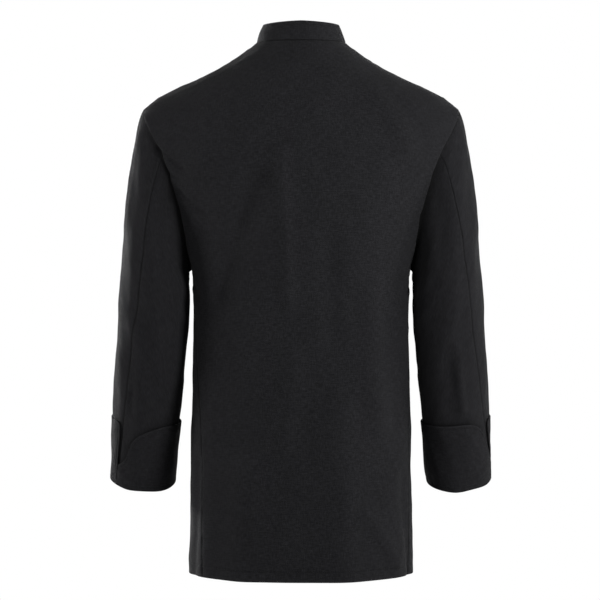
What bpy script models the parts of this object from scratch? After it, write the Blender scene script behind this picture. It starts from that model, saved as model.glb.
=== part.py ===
"""Chef jacket, buttoned up and filled out with no wearer inside.

Metres, +Z up. The front faces -Y and the wearer's left is +X. The origin lies between the two side
neck points, where the wearer's shoulders carry the jacket. Every piece is a closed wall of cloth,
worked out from the sections of the body and of the sleeves, and parted from its neighbours by a
narrow seam gap.
"""
import math
from types import SimpleNamespace

import bmesh
import bpy
from mathutils import Vector

# ---------------------------------------------------------------- driving sizes
NECK_SIDE_Z = 0.0075        # collar seam at the side of the neck
NECK_BACK_DROP = 0.0015     # how much lower the seam is at the centre back
NECK_FRONT_DROP = 0.0625    # and at the centre front
SHOULDER_Z = -0.098         # shoulder point, top of the armhole
UNDERARM_Z = -0.345         # bottom of the armhole, top of the side seam
HEM_Z = -0.811
LAP_HALF = 0.085            # how far each front passes the centre front
LAP_LIFT = 0.0028           # how far the outer front stands over the inner one
HEM_DROP = 0.0040           # how much lower the hem is at the centre than at the sides
WRIST_Z = -0.6725           # centre of the turned edge of the cuff
CUFF_HEIGHT = 0.1045        # where it is highest, at the back of the arm
CUFF_FALL = 0.0140          # how much lower it is across from there
CUFF_HIGH_DEG = 80.0        # and where that is, round the sleeve
COLLAR_CORNER = 0.012       # radius of the collar's front corners
COLLAR_END_DEG = 176.0      # where the collar ends, round from the centre back

CLOTH = 0.0015              # wall of a panel
COLLAR_CLOTH = 0.0024
CUFF_CLOTH = 0.0018
SEAM_GAP = 0.0003
SLEEVE_SEAM_GAP = 0.0004    # a little more, because the sleeve is narrower than its mean radius
LAYER_GAP = 0.0011          # between the cuff and the sleeve inside it

BUTTON_RADIUS = 0.0095
BUTTON_HEIGHT = 0.0038
BUTTON_COLUMN_X = 0.068
BUTTON_TOP_Z = -0.088
BUTTON_STEP = 0.118
BUTTON_ROWS = 5
BUTTON_SIDES = 12
BUTTON_RINGS = ((0.0, 0.96), (0.60, 1.0), (1.0, 0.86))   # share of the height, share of the radius

# ---------------------------------------------------------------- grid of the walls
BACK_COLUMNS = 12           # centre back to the edge
FRONT_COLUMNS = 10          # edge to the centre front
LAP_COLUMNS = 4             # centre front to the front edge
SHOULDER_ROWS = 7
BODY_ROWS = 13
TOP_BACK_STEPS = 4          # columns of the sleeve, from the shoulder line to the back seam
UNDER_BACK_STEPS = 8        # back seam to the underarm
UNDER_FRONT_STEPS = 3       # underarm to the front seam
TOP_FRONT_STEPS = 9         # front seam to the shoulder line
CAP_ROWS = 7
ARM_ROWS = 11
CORNER_ROWS = 4             # rounded ends of the collar
CUFF_COLUMNS = 28

ARMHOLE_BACK_SEAM = 65.0    # where the sleeve's seams meet the armhole, as angles round it
ARMHOLE_FRONT_SEAM = 180.0 + (180.0 - ARMHOLE_BACK_SEAM) * UNDER_FRONT_STEPS / UNDER_BACK_STEPS

# ---------------------------------------------------------------- how the cloth is spread
NECK_DROP_POWER = 0.6       # roundness of the neckline's drop to the centre
NECK_FADE_POWER = 1.3       # how soon the rows below the neckline run level
LAP_FADE_X = (LAP_HALF + 0.030, LAP_HALF + 0.060)   # where the outer front comes down again
LAP_FADE_Z = (-0.018, -0.046)
EVEN_SPREAD = 0.8           # how evenly a row's columns are spread beside the armhole
EVEN_RANGE = 0.070
HEAD_CROWDING = 1.2         # rows of the sleeve head lie closer to the armhole
HEAD_FOLD_LEVEL = 0.3       # sleeve folds start below this level of the head
CUFF_FOLD_LEVELS = (1.57, 1.64)
SLEEVE_END = 1.985          # the sleeve ends just inside the cuff's turned edge
BODY_RADIUS = 0.150         # turn angles into distances round the body, the neck, the sleeve and the cuff
NECK_RADIUS = 0.070
SLEEVE_RADIUS = 0.058
CUFF_RADIUS = 0.052
SHARP_DEG = 40.0            # edges sharper than this stay sharp in the shading
SMALL_TURN = 0.5            # steps for directions: degrees, levels of the sleeve, metres
SMALL_LEVEL = 0.004
SMALL_STEP = 1e-5
SLEEVE_SPAN = 0.010         # half the stretch that a sleeve section takes its direction from


# ---------------------------------------------------------------- tables
def smooth_slopes(keys, values):
    """Slopes of a cubic through the values that never overshoots them."""
    steps = [(v1 - v0) / (k1 - k0) for k0, k1, v0, v1 in zip(keys, keys[1:], values, values[1:])]
    inner = [0.0 if a * b <= 0 else 2 * a * b / (a + b) for a, b in zip(steps, steps[1:])]
    return [steps[0], *inner, steps[-1]]


class Table:
    """Rows of named columns, read smoothly between the rows by their first column."""

    def __init__(self, names, *rows):
        names = names.split()
        columns = list(zip(*sorted(rows)))
        self.keys = columns[0]
        self.columns = {name: (values, smooth_slopes(self.keys, values))
                        for name, values in zip(names[1:], columns[1:])}

    def at(self, key):
        keys = self.keys
        key = min(max(key, keys[0]), keys[-1])
        row = max(i for i in range(len(keys) - 1) if keys[i] <= key)
        span = keys[row + 1] - keys[row]
        t = (key - keys[row]) / span
        result = SimpleNamespace()
        for name, (values, slopes) in self.columns.items():
            value = (values[row] * (1 + 2 * t) * (1 - t) ** 2 + values[row + 1] * t * t * (3 - 2 * t)
                     + span * (slopes[row] * t * (1 - t) ** 2 - slopes[row + 1] * t * t * (1 - t)))
            setattr(result, name, value)
        return result


# Level sections of the body. The half-width follows the shoulder line down to the shoulder point,
# passes over the armhole, and is the side of the body below it.
TORSO = Table(
    "z half_width back front roundness",
    (0.0075, 0.0690, 0.068, 0.012, 2.00),
    (0.0040, 0.0730, 0.070, 0.0213, 2.00),
    (-0.0040, 0.0835, 0.075, 0.0325, 2.00),
    (-0.0190, 0.1055, 0.083, 0.0480, 2.00),
    (-0.0340, 0.1300, 0.090, 0.0620, 2.00),
    (-0.0500, 0.1620, 0.097, 0.0755, 2.00),
    (-0.0650, 0.1960, 0.102, 0.0850, 2.00),
    (-0.0810, 0.2255, 0.106, 0.0930, 2.02),
    (-0.0980, 0.2450, 0.110, 0.1000, 2.05),
    (-0.1070, 0.2515, 0.112, 0.1030, 2.05),
    (-0.1180, 0.2545, 0.114, 0.1070, 2.08),
    (-0.1330, 0.2530, 0.116, 0.1110, 2.10),
    (-0.1680, 0.2390, 0.120, 0.1200, 2.15),
    (-0.2100, 0.2175, 0.123, 0.1290, 2.20),
    (-0.2700, 0.1900, 0.124, 0.1370, 2.28),
    (-0.3200, 0.1745, 0.123, 0.1410, 2.34),
    (-0.3450, 0.1692, 0.122, 0.1420, 2.36),
    (-0.3700, 0.1672, 0.121, 0.1425, 2.38),
    (-0.4200, 0.1664, 0.120, 0.1430, 2.40),
    (-0.5450, 0.1690, 0.120, 0.1430, 2.42),
    (-0.7000, 0.1713, 0.125, 0.1420, 2.42),
    (-0.8110, 0.1735, 0.130, 0.1420, 2.42))

# Half-width at the armhole's edge, on the back panel and on the front.
ARMHOLE = Table(
    "z back_x front_x",
    (-0.0980, 0.2450, 0.2450),
    (-0.1150, 0.2395, 0.2370),
    (-0.1330, 0.2310, 0.2265),
    (-0.1680, 0.2125, 0.2040),
    (-0.2100, 0.1975, 0.1870),
    (-0.2700, 0.1812, 0.1745),
    (-0.3200, 0.1730, 0.1712),
    (-0.3450, 0.1692, 0.1692))

# The side seams start at the side of the body and swing to the back: angle round from the
# centre back, where 90 degrees is the side.
SIDE_SEAM = Table(
    "z left_deg right_deg",
    (UNDERARM_Z, 90.0, 90.0),
    (-0.45, 76.0, 82.0),
    (-0.60, 64.0, 76.0),
    (HEM_Z, 60.0, 74.0))

# Sections of the sleeve below the underarm, about a centre line that bends forward at the elbow.
SLEEVE = Table(
    "z x y half_width half_depth",
    (-0.370, 0.2252, 0.0020, 0.0550, 0.0725),
    (-0.430, 0.2295, 0.0000, 0.0548, 0.0680),
    (-0.500, 0.2352, -0.0090, 0.0545, 0.0625),
    (-0.545, 0.2388, -0.0205, 0.0536, 0.0580),
    (-0.590, 0.2420, -0.0335, 0.0512, 0.0540),
    (-0.640, 0.2456, -0.0490, 0.0494, 0.0505),
    (WRIST_Z, 0.2480, -0.0600, 0.0486, 0.0490))
SLEEVE_TOP_Z = -0.370

# How the sleeve leaves the armhole, round from the shoulder point (0) over the back (90) to the
# underarm (180): the turn from the panel's own run-out, and how strongly the line holds to it.
SLEEVE_HEAD = Table(
    "deg turn_deg reach",
    (0.0, -18.0, 0.118),
    (30.0, -2.0, 0.090),
    (60.0, 16.0, 0.062),
    (90.0, 34.0, 0.056),
    (120.0, 66.0, 0.048),
    (150.0, 122.0, 0.032),
    (180.0, 172.0, 0.020))

# Seams of the two-piece sleeves, as angles round the section, by level: 0 to 1 is the sleeve head
# and 1 to 2 the arm. The right sleeve is set with more twist than the left.
SLEEVE_SEAMS = Table(
    "level left_back left_front right_back right_front",
    (0.00, ARMHOLE_BACK_SEAM, ARMHOLE_FRONT_SEAM, ARMHOLE_BACK_SEAM, ARMHOLE_FRONT_SEAM),
    (0.25, 68.5, 222.0, 65.0, 222.0),
    (0.87, 68.5, 219.0, 57.5, 217.0),
    (1.02, 67.0, 218.0, 55.2, 215.0),
    (1.23, 61.2, 216.0, 51.8, 212.0),
    (1.42, 56.8, 214.0, 46.0, 208.0),
    (1.61, 51.5, 212.0, 38.0, 203.0),
    (1.75, 46.0, 210.0, 26.0, 200.0),
    (1.87, 40.5, 208.0, 14.0, 198.0),
    (2.00, 36.0, 206.0, 7.0, 196.0))

# Sides of the cuff's slit by height above the turned edge: how far each stands off the sleeve's back
# seam, on the side of the body and on the outer side. They part above the middle and end in corners.
CUFF_EDGES = Table(
    "height body outer",
    (0.0000, 0.0008, 0.0008),
    (0.0340, 0.0010, 0.0009),
    (0.0410, 0.0080, 0.0012),
    (0.0490, 0.0140, 0.0016),
    (0.0620, 0.0190, 0.0022),
    (0.0750, 0.0245, 0.0028),
    (0.0860, 0.0305, 0.0034),
    (0.0945, 0.0380, 0.0040),
    (0.0995, 0.0460, 0.0053),
    (0.1030, 0.0555, 0.0090),
    (CUFF_HEIGHT, 0.0650, 0.0145))

# How the collar stands on the neck seam, round from the centre back.
COLLAR = Table(
    "deg height lean_deg",
    (0.0, 0.0335, 20.0),
    (90.0, 0.0300, 25.0),
    (180.0, 0.0300, 8.0))

# Soft folds of the body: both ends as an angle round from the centre back (the wearer's left is
# positive) and a height, then the half-width and how far the cloth stands out there.
FOLD_COLUMNS = "top_deg top_z low_deg low_z width height"
BODY_FOLDS = (
    (12, -0.150, 10, -0.257, 0.013, -0.0022),
    (13, -0.287, 14, -0.437, 0.015, -0.0018),
    (18, -0.185, 41, -0.364, 0.016, -0.0024),
    (27, -0.175, 33, -0.300, 0.016, 0.0022),
    (-20, -0.200, -34, -0.420, 0.020, -0.0020),
    (-42, -0.700, -56, -0.800, 0.011, 0.0030),
    (-35, -0.690, -42, -0.811, 0.010, -0.0022),
    (-60, -0.660, -68, -0.811, 0.012, -0.0026),
    (30, -0.600, 36, -0.811, 0.022, -0.0026),
    (4, -0.560, -4, -0.811, 0.026, -0.0020),
    (100, -0.420, 118, -0.811, 0.022, -0.0030),
    (-102, -0.440, -116, -0.811, 0.022, -0.0030),
    (122, -0.230, 140, -0.360, 0.018, -0.0026),
    (-124, -0.240, -141, -0.370, 0.018, -0.0026),
    (132, -0.500, 138, -0.811, 0.020, 0.0024),
    (-134, -0.520, -139, -0.811, 0.020, 0.0024))

# Soft folds of the sleeves, the same way, with angles round the sleeve's own section.
LEFT_SLEEVE_FOLDS = (
    (60, -0.400, 96, -0.470, 0.013, -0.0030),
    (200, -0.430, 250, -0.450, 0.012, -0.0032),
    (205, -0.480, 262, -0.505, 0.012, -0.0032),
    (212, -0.455, 262, -0.478, 0.011, 0.0026),
    (95, -0.500, 120, -0.570, 0.013, -0.0024),
    (20, -0.300, 350, -0.420, 0.018, -0.0026),
    (300, -0.220, 318, -0.330, 0.016, -0.0030))
RIGHT_SLEEVE_FOLDS = (
    (84, -0.505, 78, -0.580, 0.012, 0.0026),
    (64, -0.440, 100, -0.500, 0.013, -0.0028),
    (198, -0.420, 248, -0.445, 0.012, -0.0032),
    (206, -0.470, 260, -0.498, 0.012, -0.0032),
    (214, -0.446, 262, -0.470, 0.011, 0.0026),
    (16, -0.310, 348, -0.430, 0.018, -0.0026),
    (304, -0.230, 320, -0.340, 0.016, -0.0030))

UP = Vector((0.0, 0.0, 1.0))
LEFT, RIGHT = 1, -1


# ---------------------------------------------------------------- small helpers
def fade(value, start, end):
    """0 up to start, 1 from end on, and a smooth step between."""
    t = min(1.0, max(0.0, (value - start) / (end - start)))
    return t * t * (3 - 2 * t)


def turned(along, out, degrees):
    """The direction at an angle from one unit vector towards another at right angles to it."""
    angle = math.radians(degrees)
    return along * math.cos(angle) + out * math.sin(angle)


def fold_height(folds, degrees, z, radius):
    """How far soft folds move the cloth out at a place given by its angle and height."""
    height = 0.0
    for row in folds:
        fold = SimpleNamespace(**dict(zip(FOLD_COLUMNS.split(), row)))
        run = Vector((math.radians(fold.low_deg - fold.top_deg) * radius, fold.low_z - fold.top_z))
        turn = (degrees - fold.top_deg + 180.0) % 360.0 - 180.0
        place = Vector((math.radians(turn) * radius, z - fold.top_z))
        along = min(1.0, max(0.0, place.dot(run) / run.length_squared))
        height += fold.height * math.exp(-((place - run * along).length / fold.width) ** 2)
    return height


# ---------------------------------------------------------------- body surface
def torso_normal(x, y, z):
    """Outward normal of the body, from how its sections' own equation changes."""
    def level(px, py, pz):
        section = TORSO.at(pz)
        depth = section.back if py >= 0 else section.front
        power = section.roundness
        return (abs(px) / section.half_width) ** power + (abs(py) / depth) ** power

    step = SMALL_STEP
    return Vector((level(x + step, y, z) - level(x - step, y, z),
                   level(x, y + step, z) - level(x, y - step, z),
                   level(x, y, z + step) - level(x, y, z - step))).normalized()


def torso_place(x, z, facing):
    """A point of the body and its normal: facing is 1 on the back half and -1 on the front."""
    section = TORSO.at(z)
    ratio = min(1.0, abs(x) / section.half_width)
    rest = (1.0 - ratio ** section.roundness) ** (1.0 / section.roundness)
    y = facing * rest * (section.back if facing > 0 else section.front)
    degrees = math.degrees(math.atan2(x / section.half_width, facing * rest))
    normal = torso_normal(x, y, z)
    return Vector((x, y, z)) + normal * fold_height(BODY_FOLDS, degrees, z, BODY_RADIUS), normal


def armhole_z(degrees):
    """Height of the armhole's edge, round from the shoulder point over the back."""
    middle = (SHOULDER_Z + UNDERARM_Z) / 2
    return middle + (SHOULDER_Z - middle) * math.cos(math.radians(degrees))


def armhole_place(degrees, hand):
    """A point of the armhole's edge and the panel's normal there."""
    z = armhole_z(degrees)
    on_back = degrees % 360.0 <= 180.0
    row = ARMHOLE.at(z)
    return torso_place(hand * (row.back_x if on_back else row.front_x), z, 1 if on_back else -1)


def top_columns(back_seam, front_seam):
    """Angles of the top sleeve's columns, from the front seam over the shoulder to the back seam."""
    front = [front_seam + (360.0 - front_seam) * i / TOP_FRONT_STEPS for i in range(TOP_FRONT_STEPS)]
    back = [360.0 + back_seam * i / TOP_BACK_STEPS for i in range(TOP_BACK_STEPS + 1)]
    return front + back


def under_columns(back_seam, front_seam):
    """Angles of the under sleeve's columns, from the back seam under the arm to the front seam."""
    back = [back_seam + (180.0 - back_seam) * i / UNDER_BACK_STEPS for i in range(UNDER_BACK_STEPS)]
    front = [180.0 + (front_seam - 180.0) * i / UNDER_FRONT_STEPS for i in range(UNDER_FRONT_STEPS + 1)]
    return back + front


def armhole_angles(facing):
    """Angles of the sleeve's columns along one panel's armhole, from the shoulder point down."""
    top = top_columns(ARMHOLE_BACK_SEAM, ARMHOLE_FRONT_SEAM)
    under = under_columns(ARMHOLE_BACK_SEAM, ARMHOLE_FRONT_SEAM)
    if facing > 0:
        return [a - 360.0 for a in top[TOP_FRONT_STEPS:]] + under[1:UNDER_BACK_STEPS + 1]
    return top[TOP_FRONT_STEPS::-1] + under[-2:UNDER_BACK_STEPS - 1:-1]


def panel_rows(facing):
    """Rows of a panel from the neck down: edge height, edge half-width, and the kind of edge."""
    rows = []
    for i in range(SHOULDER_ROWS):
        z = NECK_SIDE_Z + (SHOULDER_Z - NECK_SIDE_Z) * i / SHOULDER_ROWS
        rows.append(SimpleNamespace(z=z, edge=TORSO.at(z).half_width, kind="shoulder"))
    angles = armhole_angles(facing)
    for angle in angles:
        z = armhole_z(angle)
        row = ARMHOLE.at(z)
        kind = "shoulder" if angle in (angles[0], angles[-1]) else "armhole"
        rows.append(SimpleNamespace(z=z, edge=row.back_x if facing > 0 else row.front_x, kind=kind))
    for i in range(1, BODY_ROWS + 1):
        z = UNDERARM_Z + (HEM_Z - UNDERARM_Z) * i / BODY_ROWS
        rows.append(SimpleNamespace(z=z, edge=TORSO.at(z).half_width, kind="side"))
    return rows


def level_at(row, share, facing):
    """Height of a row at a share of its half-width: it drops to the centre at neck and hem."""
    if row.kind == "side":
        return row.z - HEM_DROP * fade(-row.z, -UNDERARM_Z, -HEM_Z) * (1.0 - share * share)
    full = NECK_BACK_DROP if facing > 0 else NECK_FRONT_DROP
    left = min(1.0, max(0.0, (row.z - UNDERARM_Z) / (NECK_SIDE_Z - UNDERARM_Z)))
    return row.z - full * left ** NECK_FADE_POWER * (1.0 - share * share) ** NECK_DROP_POWER


def panel_place(row, facing, hand, part):
    """A point of a panel: part runs from 0 at the centre to 1 at the row's edge."""
    if row.kind == "side":
        seam = SIDE_SEAM.at(row.z)
        seam = seam.left_deg if hand == LEFT else seam.right_deg
        angle = math.radians(part * seam if facing > 0 else 180.0 - part * (180.0 - seam))
        share = math.sin(angle)
        half = 1 if math.cos(angle) > 0 else -1
        return torso_place(hand * row.edge * share, level_at(row, share, facing), half)
    arc = math.sin(part * math.pi / 2)
    even = 0.0
    if row.kind == "armhole":
        even = EVEN_SPREAD * (fade(-row.z, -SHOULDER_Z, EVEN_RANGE - SHOULDER_Z)
                              * fade(row.z, UNDERARM_Z, UNDERARM_Z + EVEN_RANGE))
    share = min(1.0, arc + (part - arc) * even)
    return torso_place(hand * row.edge * share, level_at(row, share, facing), facing)


def seam_shift(row, normal, facing, hand):
    """Half a seam gap along the level section, away from the neighbouring panel."""
    if row.kind == "armhole":
        return Vector()
    return UP.cross(normal).normalized() * (hand * facing * SEAM_GAP / 2)


# ---------------------------------------------------------------- walls
def material(name, colour, roughness, metallic=0.0):
    shade = bpy.data.materials.new(name)
    shade.use_nodes = True
    shader = shade.node_tree.nodes["Principled BSDF"]
    shader.inputs["Base Color"].default_value = (*colour, 1.0)
    shader.inputs["Roughness"].default_value = roughness
    shader.inputs["Metallic"].default_value = metallic
    return shade


def add_object(name, points, faces, shade):
    """A closed mesh with its faces turned outwards, shaded smooth."""
    mesh = bpy.data.meshes.new(name)
    mesh.from_pydata(points, [], faces)
    work = bmesh.new()
    work.from_mesh(mesh)
    if work.calc_volume(signed=True) < 0:
        bmesh.ops.reverse_faces(work, faces=work.faces)
    work.to_mesh(mesh)
    work.free()
    mesh.materials.append(shade)
    mesh.shade_smooth()
    mesh.set_sharp_from_angle(angle=math.radians(SHARP_DEG))
    part = bpy.data.objects.new(name, mesh)
    bpy.context.scene.collection.objects.link(part)
    return part


def add_wall(name, outer, inner, shade):
    """A closed wall between two grids of points, each a list of rows."""
    rows, columns = len(outer), len(outer[0])
    points = [p for grid in (outer, inner) for line in grid for p in line]

    def index(side, i, j):
        return (side * rows + i) * columns + j

    faces = []
    for i in range(rows - 1):
        for j in range(columns - 1):
            faces.append([index(0, i, j), index(0, i, j + 1), index(0, i + 1, j + 1), index(0, i + 1, j)])
            faces.append([index(1, i, j), index(1, i + 1, j), index(1, i + 1, j + 1), index(1, i, j + 1)])
    for j in range(columns - 1):
        faces.append([index(0, 0, j), index(1, 0, j), index(1, 0, j + 1), index(0, 0, j + 1)])
        last = rows - 1
        faces.append([index(0, last, j), index(0, last, j + 1), index(1, last, j + 1), index(1, last, j)])
    for i in range(rows - 1):
        faces.append([index(0, i, 0), index(0, i + 1, 0), index(1, i + 1, 0), index(1, i, 0)])
        last = columns - 1
        faces.append([index(0, i, last), index(1, i, last), index(1, i + 1, last), index(0, i + 1, last)])
    return add_object(name, points, faces, shade)


# ---------------------------------------------------------------- back and fronts
def add_back(shade):
    outer, inner = [], []
    for row in panel_rows(1):
        line = []
        for j in range(-BACK_COLUMNS, BACK_COLUMNS + 1):
            hand = LEFT if j >= 0 else RIGHT
            point, normal = panel_place(row, 1, hand, abs(j) / BACK_COLUMNS)
            if abs(j) == BACK_COLUMNS:
                point = point + seam_shift(row, normal, 1, hand)
            line.append((point, normal))
        outer.append([point for point, normal in line])
        inner.append([point - normal * CLOTH for point, normal in line])
    return add_wall("back", outer, inner, shade)


def lap_lift(point, hand):
    """How far the outer front is lifted where the inner front lies under it."""
    over = 1.0 - fade(hand * point.x, *LAP_FADE_X)
    return LAP_LIFT * over * fade(-point.z, -LAP_FADE_Z[0], -LAP_FADE_Z[1])


def front_place(row, hand, part, outer_front):
    """A point of a front: part is 1 at the edge, 0 at the centre and below it on the lap."""
    if part >= 0:
        point, normal = panel_place(row, -1, hand, part)
    else:
        point, normal = torso_place(hand * part * LAP_HALF, level_at(row, 0.0, -1), -1)
    if outer_front:
        point = point + normal * lap_lift(point, hand)
    return point, normal


def front_parts():
    return ([1 - i / FRONT_COLUMNS for i in range(FRONT_COLUMNS + 1)]
            + [-(i + 1) / LAP_COLUMNS for i in range(LAP_COLUMNS)])


def add_front(name, hand, outer_front, shade):
    outer, inner = [], []
    for row in panel_rows(-1):
        line = []
        for part in front_parts():
            point, normal = front_place(row, hand, part, outer_front)
            if part == 1:
                point = point + seam_shift(row, normal, -1, hand)
            line.append((point, normal))
        outer.append([point for point, normal in line])
        inner.append([point - normal * CLOTH for point, normal in line])
    return add_wall(name, outer, inner, shade)


# ---------------------------------------------------------------- collar
def neck_place(degrees):
    """A point of the neck seam and the panel's normal, round from the centre back to either side."""
    hand = LEFT if degrees >= 0 else RIGHT
    angle = abs(degrees)
    facing = 1 if angle <= 90 else -1
    row = panel_rows(facing)[0]
    if facing > 0:
        return panel_place(row, 1, hand, angle / 90.0)
    return front_place(row, hand, (180.0 - angle) / 90.0, hand == LEFT)


def collar_angles():
    """The neckline's own columns, so that collar and panels have the same facets along the seam."""
    back = [90.0 * i / BACK_COLUMNS for i in range(BACK_COLUMNS + 1)]
    front = [90.0 + 90.0 * i / FRONT_COLUMNS for i in range(1, FRONT_COLUMNS)] + [COLLAR_END_DEG]
    right = [-a for a in reversed(back[1:] + front)]
    return right + back + front


def add_collar(shade):
    rounds = [math.radians(90.0 * i / (CORNER_ROWS - 1)) for i in range(CORNER_ROWS)]
    levels = [(0.0, 0.0)] + [(math.sin(a), 1 - math.cos(a)) for a in rounds]
    angles = collar_angles()
    outer, inner = [], []
    for step, (rise, inset) in enumerate(levels):
        pull = math.degrees(inset * COLLAR_CORNER / NECK_RADIUS) / COLLAR_END_DEG
        outer_line, inner_line = [], []
        for place in angles:
            degrees = place * (1.0 - pull)
            edge, panel_normal = neck_place(degrees)
            ahead, behind = neck_place(degrees + SMALL_TURN)[0], neck_place(degrees - SMALL_TURN)[0]
            along = (ahead - behind).normalized()
            off = panel_normal.cross(along).normalized()
            off = off if off.z > 0 else -off
            shape = COLLAR.at(abs(degrees))
            outward = along.cross(UP).normalized()
            outward = outward if outward.dot(panel_normal) > 0 else -outward
            stand = turned(UP, -outward, shape.lean_deg)
            face = turned(outward, UP, shape.lean_deg)
            start = edge + off * SEAM_GAP
            straight = shape.height - COLLAR_CORNER
            climb = 0.0 if step == 0 else straight + rise * COLLAR_CORNER
            point = start + stand * climb
            outer_line.append(point)
            inner_line.append(point - face * COLLAR_CLOTH)
        outer.append(outer_line)
        inner.append(inner_line)
    return add_wall("collar", outer, inner, shade)


# ---------------------------------------------------------------- sleeves
def sleeve_section(degrees, z, hand):
    """A point of the sleeve's section whose centre is at z, and the way down the sleeve."""
    def centre(level):
        row = SLEEVE.at(level)
        return Vector((hand * row.x, row.y, level))

    row = SLEEVE.at(z)
    low = max(z - SLEEVE_SPAN, WRIST_Z)
    down = (centre(low) - centre(low + 2 * SLEEVE_SPAN)).normalized()
    side = Vector((hand, 0.0, 0.0))
    side = (side - down * side.dot(down)).normalized()
    back = side.cross(down) * hand
    angle = math.radians(degrees)
    return (centre(z) + side * (row.half_width * math.cos(angle))
            + back * (row.half_depth * math.sin(angle))), down


def armhole_frame(degrees, hand):
    """The armhole's edge point, the panel's normal and the way off the panel's edge."""
    edge, normal = armhole_place(degrees, hand)
    ahead = armhole_place(degrees + SMALL_TURN, hand)[0]
    behind = armhole_place(degrees - SMALL_TURN, hand)[0]
    off = (ahead - behind).cross(normal).normalized() * hand
    return edge, normal, off


def head_start(degrees, hand):
    """Where the sleeve starts at the armhole: its outer point, its run and its own normal."""
    edge, normal, off = armhole_frame(degrees, hand)
    turn = degrees % 360.0
    row = SLEEVE_HEAD.at(min(turn, 360.0 - turn))
    start = edge + turned(off, normal, max(0.0, row.turn_deg - 90.0)) * SEAM_GAP
    run = turned(off, normal, row.turn_deg)
    own = turned(normal, -off, max(0.0, row.turn_deg))
    return start, run * row.reach, own


def sleeve_raw(degrees, level, hand):
    """A point of the sleeve without folds: level 0 to 1 is the sleeve head, 1 to 2 the arm."""
    if level >= 1.0:
        z = SLEEVE_TOP_Z + (level - 1.0) * (WRIST_Z - SLEEVE_TOP_Z)
        return sleeve_section(degrees, z, hand)[0]
    start, run, _ = head_start(degrees, hand)
    end, down = sleeve_section(degrees, SLEEVE_TOP_Z, hand)
    finish = down * (end - start).length
    t = level
    return (start * ((1 + 2 * t) * (1 - t) ** 2) + run * (t * (1 - t) ** 2)
            + end * (t * t * (3 - 2 * t)) - finish * (t * t * (1 - t)))


def sleeve_place(degrees, level, hand):
    """A point of the sleeve with its folds, and its outward normal."""
    point = sleeve_raw(degrees, level, hand)
    if level <= 0.0:
        return point, head_start(degrees, hand)[2]
    low, high = max(0.0, level - SMALL_LEVEL), min(level + SMALL_LEVEL, 2.0)
    down_way = sleeve_raw(degrees, high, hand) - sleeve_raw(degrees, low, hand)
    round_way = (sleeve_raw(degrees + SMALL_TURN, level, hand)
                 - sleeve_raw(degrees - SMALL_TURN, level, hand))
    normal = down_way.cross(round_way).normalized() * hand
    folds = LEFT_SLEEVE_FOLDS if hand == LEFT else RIGHT_SLEEVE_FOLDS
    shown = fade(level, 0.0, HEAD_FOLD_LEVEL) * (1.0 - fade(level, *CUFF_FOLD_LEVELS))
    rise = fold_height(folds, degrees % 360.0, point.z, SLEEVE_RADIUS) * shown
    return point + normal * rise, normal


def sleeve_seams(level, hand):
    """Angles of the back and front seams at a level of the sleeve."""
    seams = SLEEVE_SEAMS.at(level)
    if hand == LEFT:
        return seams.left_back, seams.left_front
    return seams.right_back, seams.right_front


def sleeve_levels():
    """Levels of the sleeve's rows, from the armhole to just above the cuff's turned edge."""
    head = [(i / CAP_ROWS) ** HEAD_CROWDING for i in range(CAP_ROWS)]
    arm = [1.0 + (SLEEVE_END - 1.0) * i / ARM_ROWS for i in range(ARM_ROWS + 1)]
    return head + arm


def add_sleeve_piece(name, hand, columns, shade):
    """One piece of a sleeve, pulled half a seam gap clear of the other at both seams."""
    outer, inner = [], []
    clear = math.degrees(SLEEVE_SEAM_GAP / 2 / SLEEVE_RADIUS)
    for level in sleeve_levels():
        angles = columns(*sleeve_seams(level, hand))
        angles = [angles[0] + clear, *angles[1:-1], angles[-1] - clear]
        places = [sleeve_place(a, level, hand) for a in angles]
        outer.append([point for point, normal in places])
        inner.append([point - normal * CLOTH for point, normal in places])
    return add_wall(name, outer, inner, shade)


# ---------------------------------------------------------------- cuffs
def cuff_top(degrees):
    """Height of the cuff round the sleeve."""
    return CUFF_HEIGHT - CUFF_FALL * (1.0 - math.cos(math.radians(degrees - CUFF_HIGH_DEG))) / 2


def add_cuff(name, hand, shade):
    """The turned-back cuff, open at the back seam with a rounded corner on each side of the slit."""
    outer, inner = [], []
    for height in CUFF_EDGES.keys:
        slit = sleeve_seams(2.0 - height / (SLEEVE_TOP_Z - WRIST_Z), hand)[0]
        edges = CUFF_EDGES.at(height)
        first = slit + math.degrees(edges.body / CUFF_RADIUS)
        last = slit + 360.0 - math.degrees(edges.outer / CUFF_RADIUS)
        outer_line, inner_line = [], []
        for j in range(CUFF_COLUMNS + 1):
            degrees = first + (last - first) * j / CUFF_COLUMNS
            rise = height * cuff_top(degrees) / CUFF_HEIGHT
            point, normal = sleeve_place(degrees, 2.0 - rise / (SLEEVE_TOP_Z - WRIST_Z), hand)
            inner_line.append(point + normal * LAYER_GAP)
            outer_line.append(point + normal * (LAYER_GAP + CUFF_CLOTH))
        outer.append(outer_line)
        inner.append(inner_line)
    return add_wall(name, outer, inner, shade)


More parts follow.
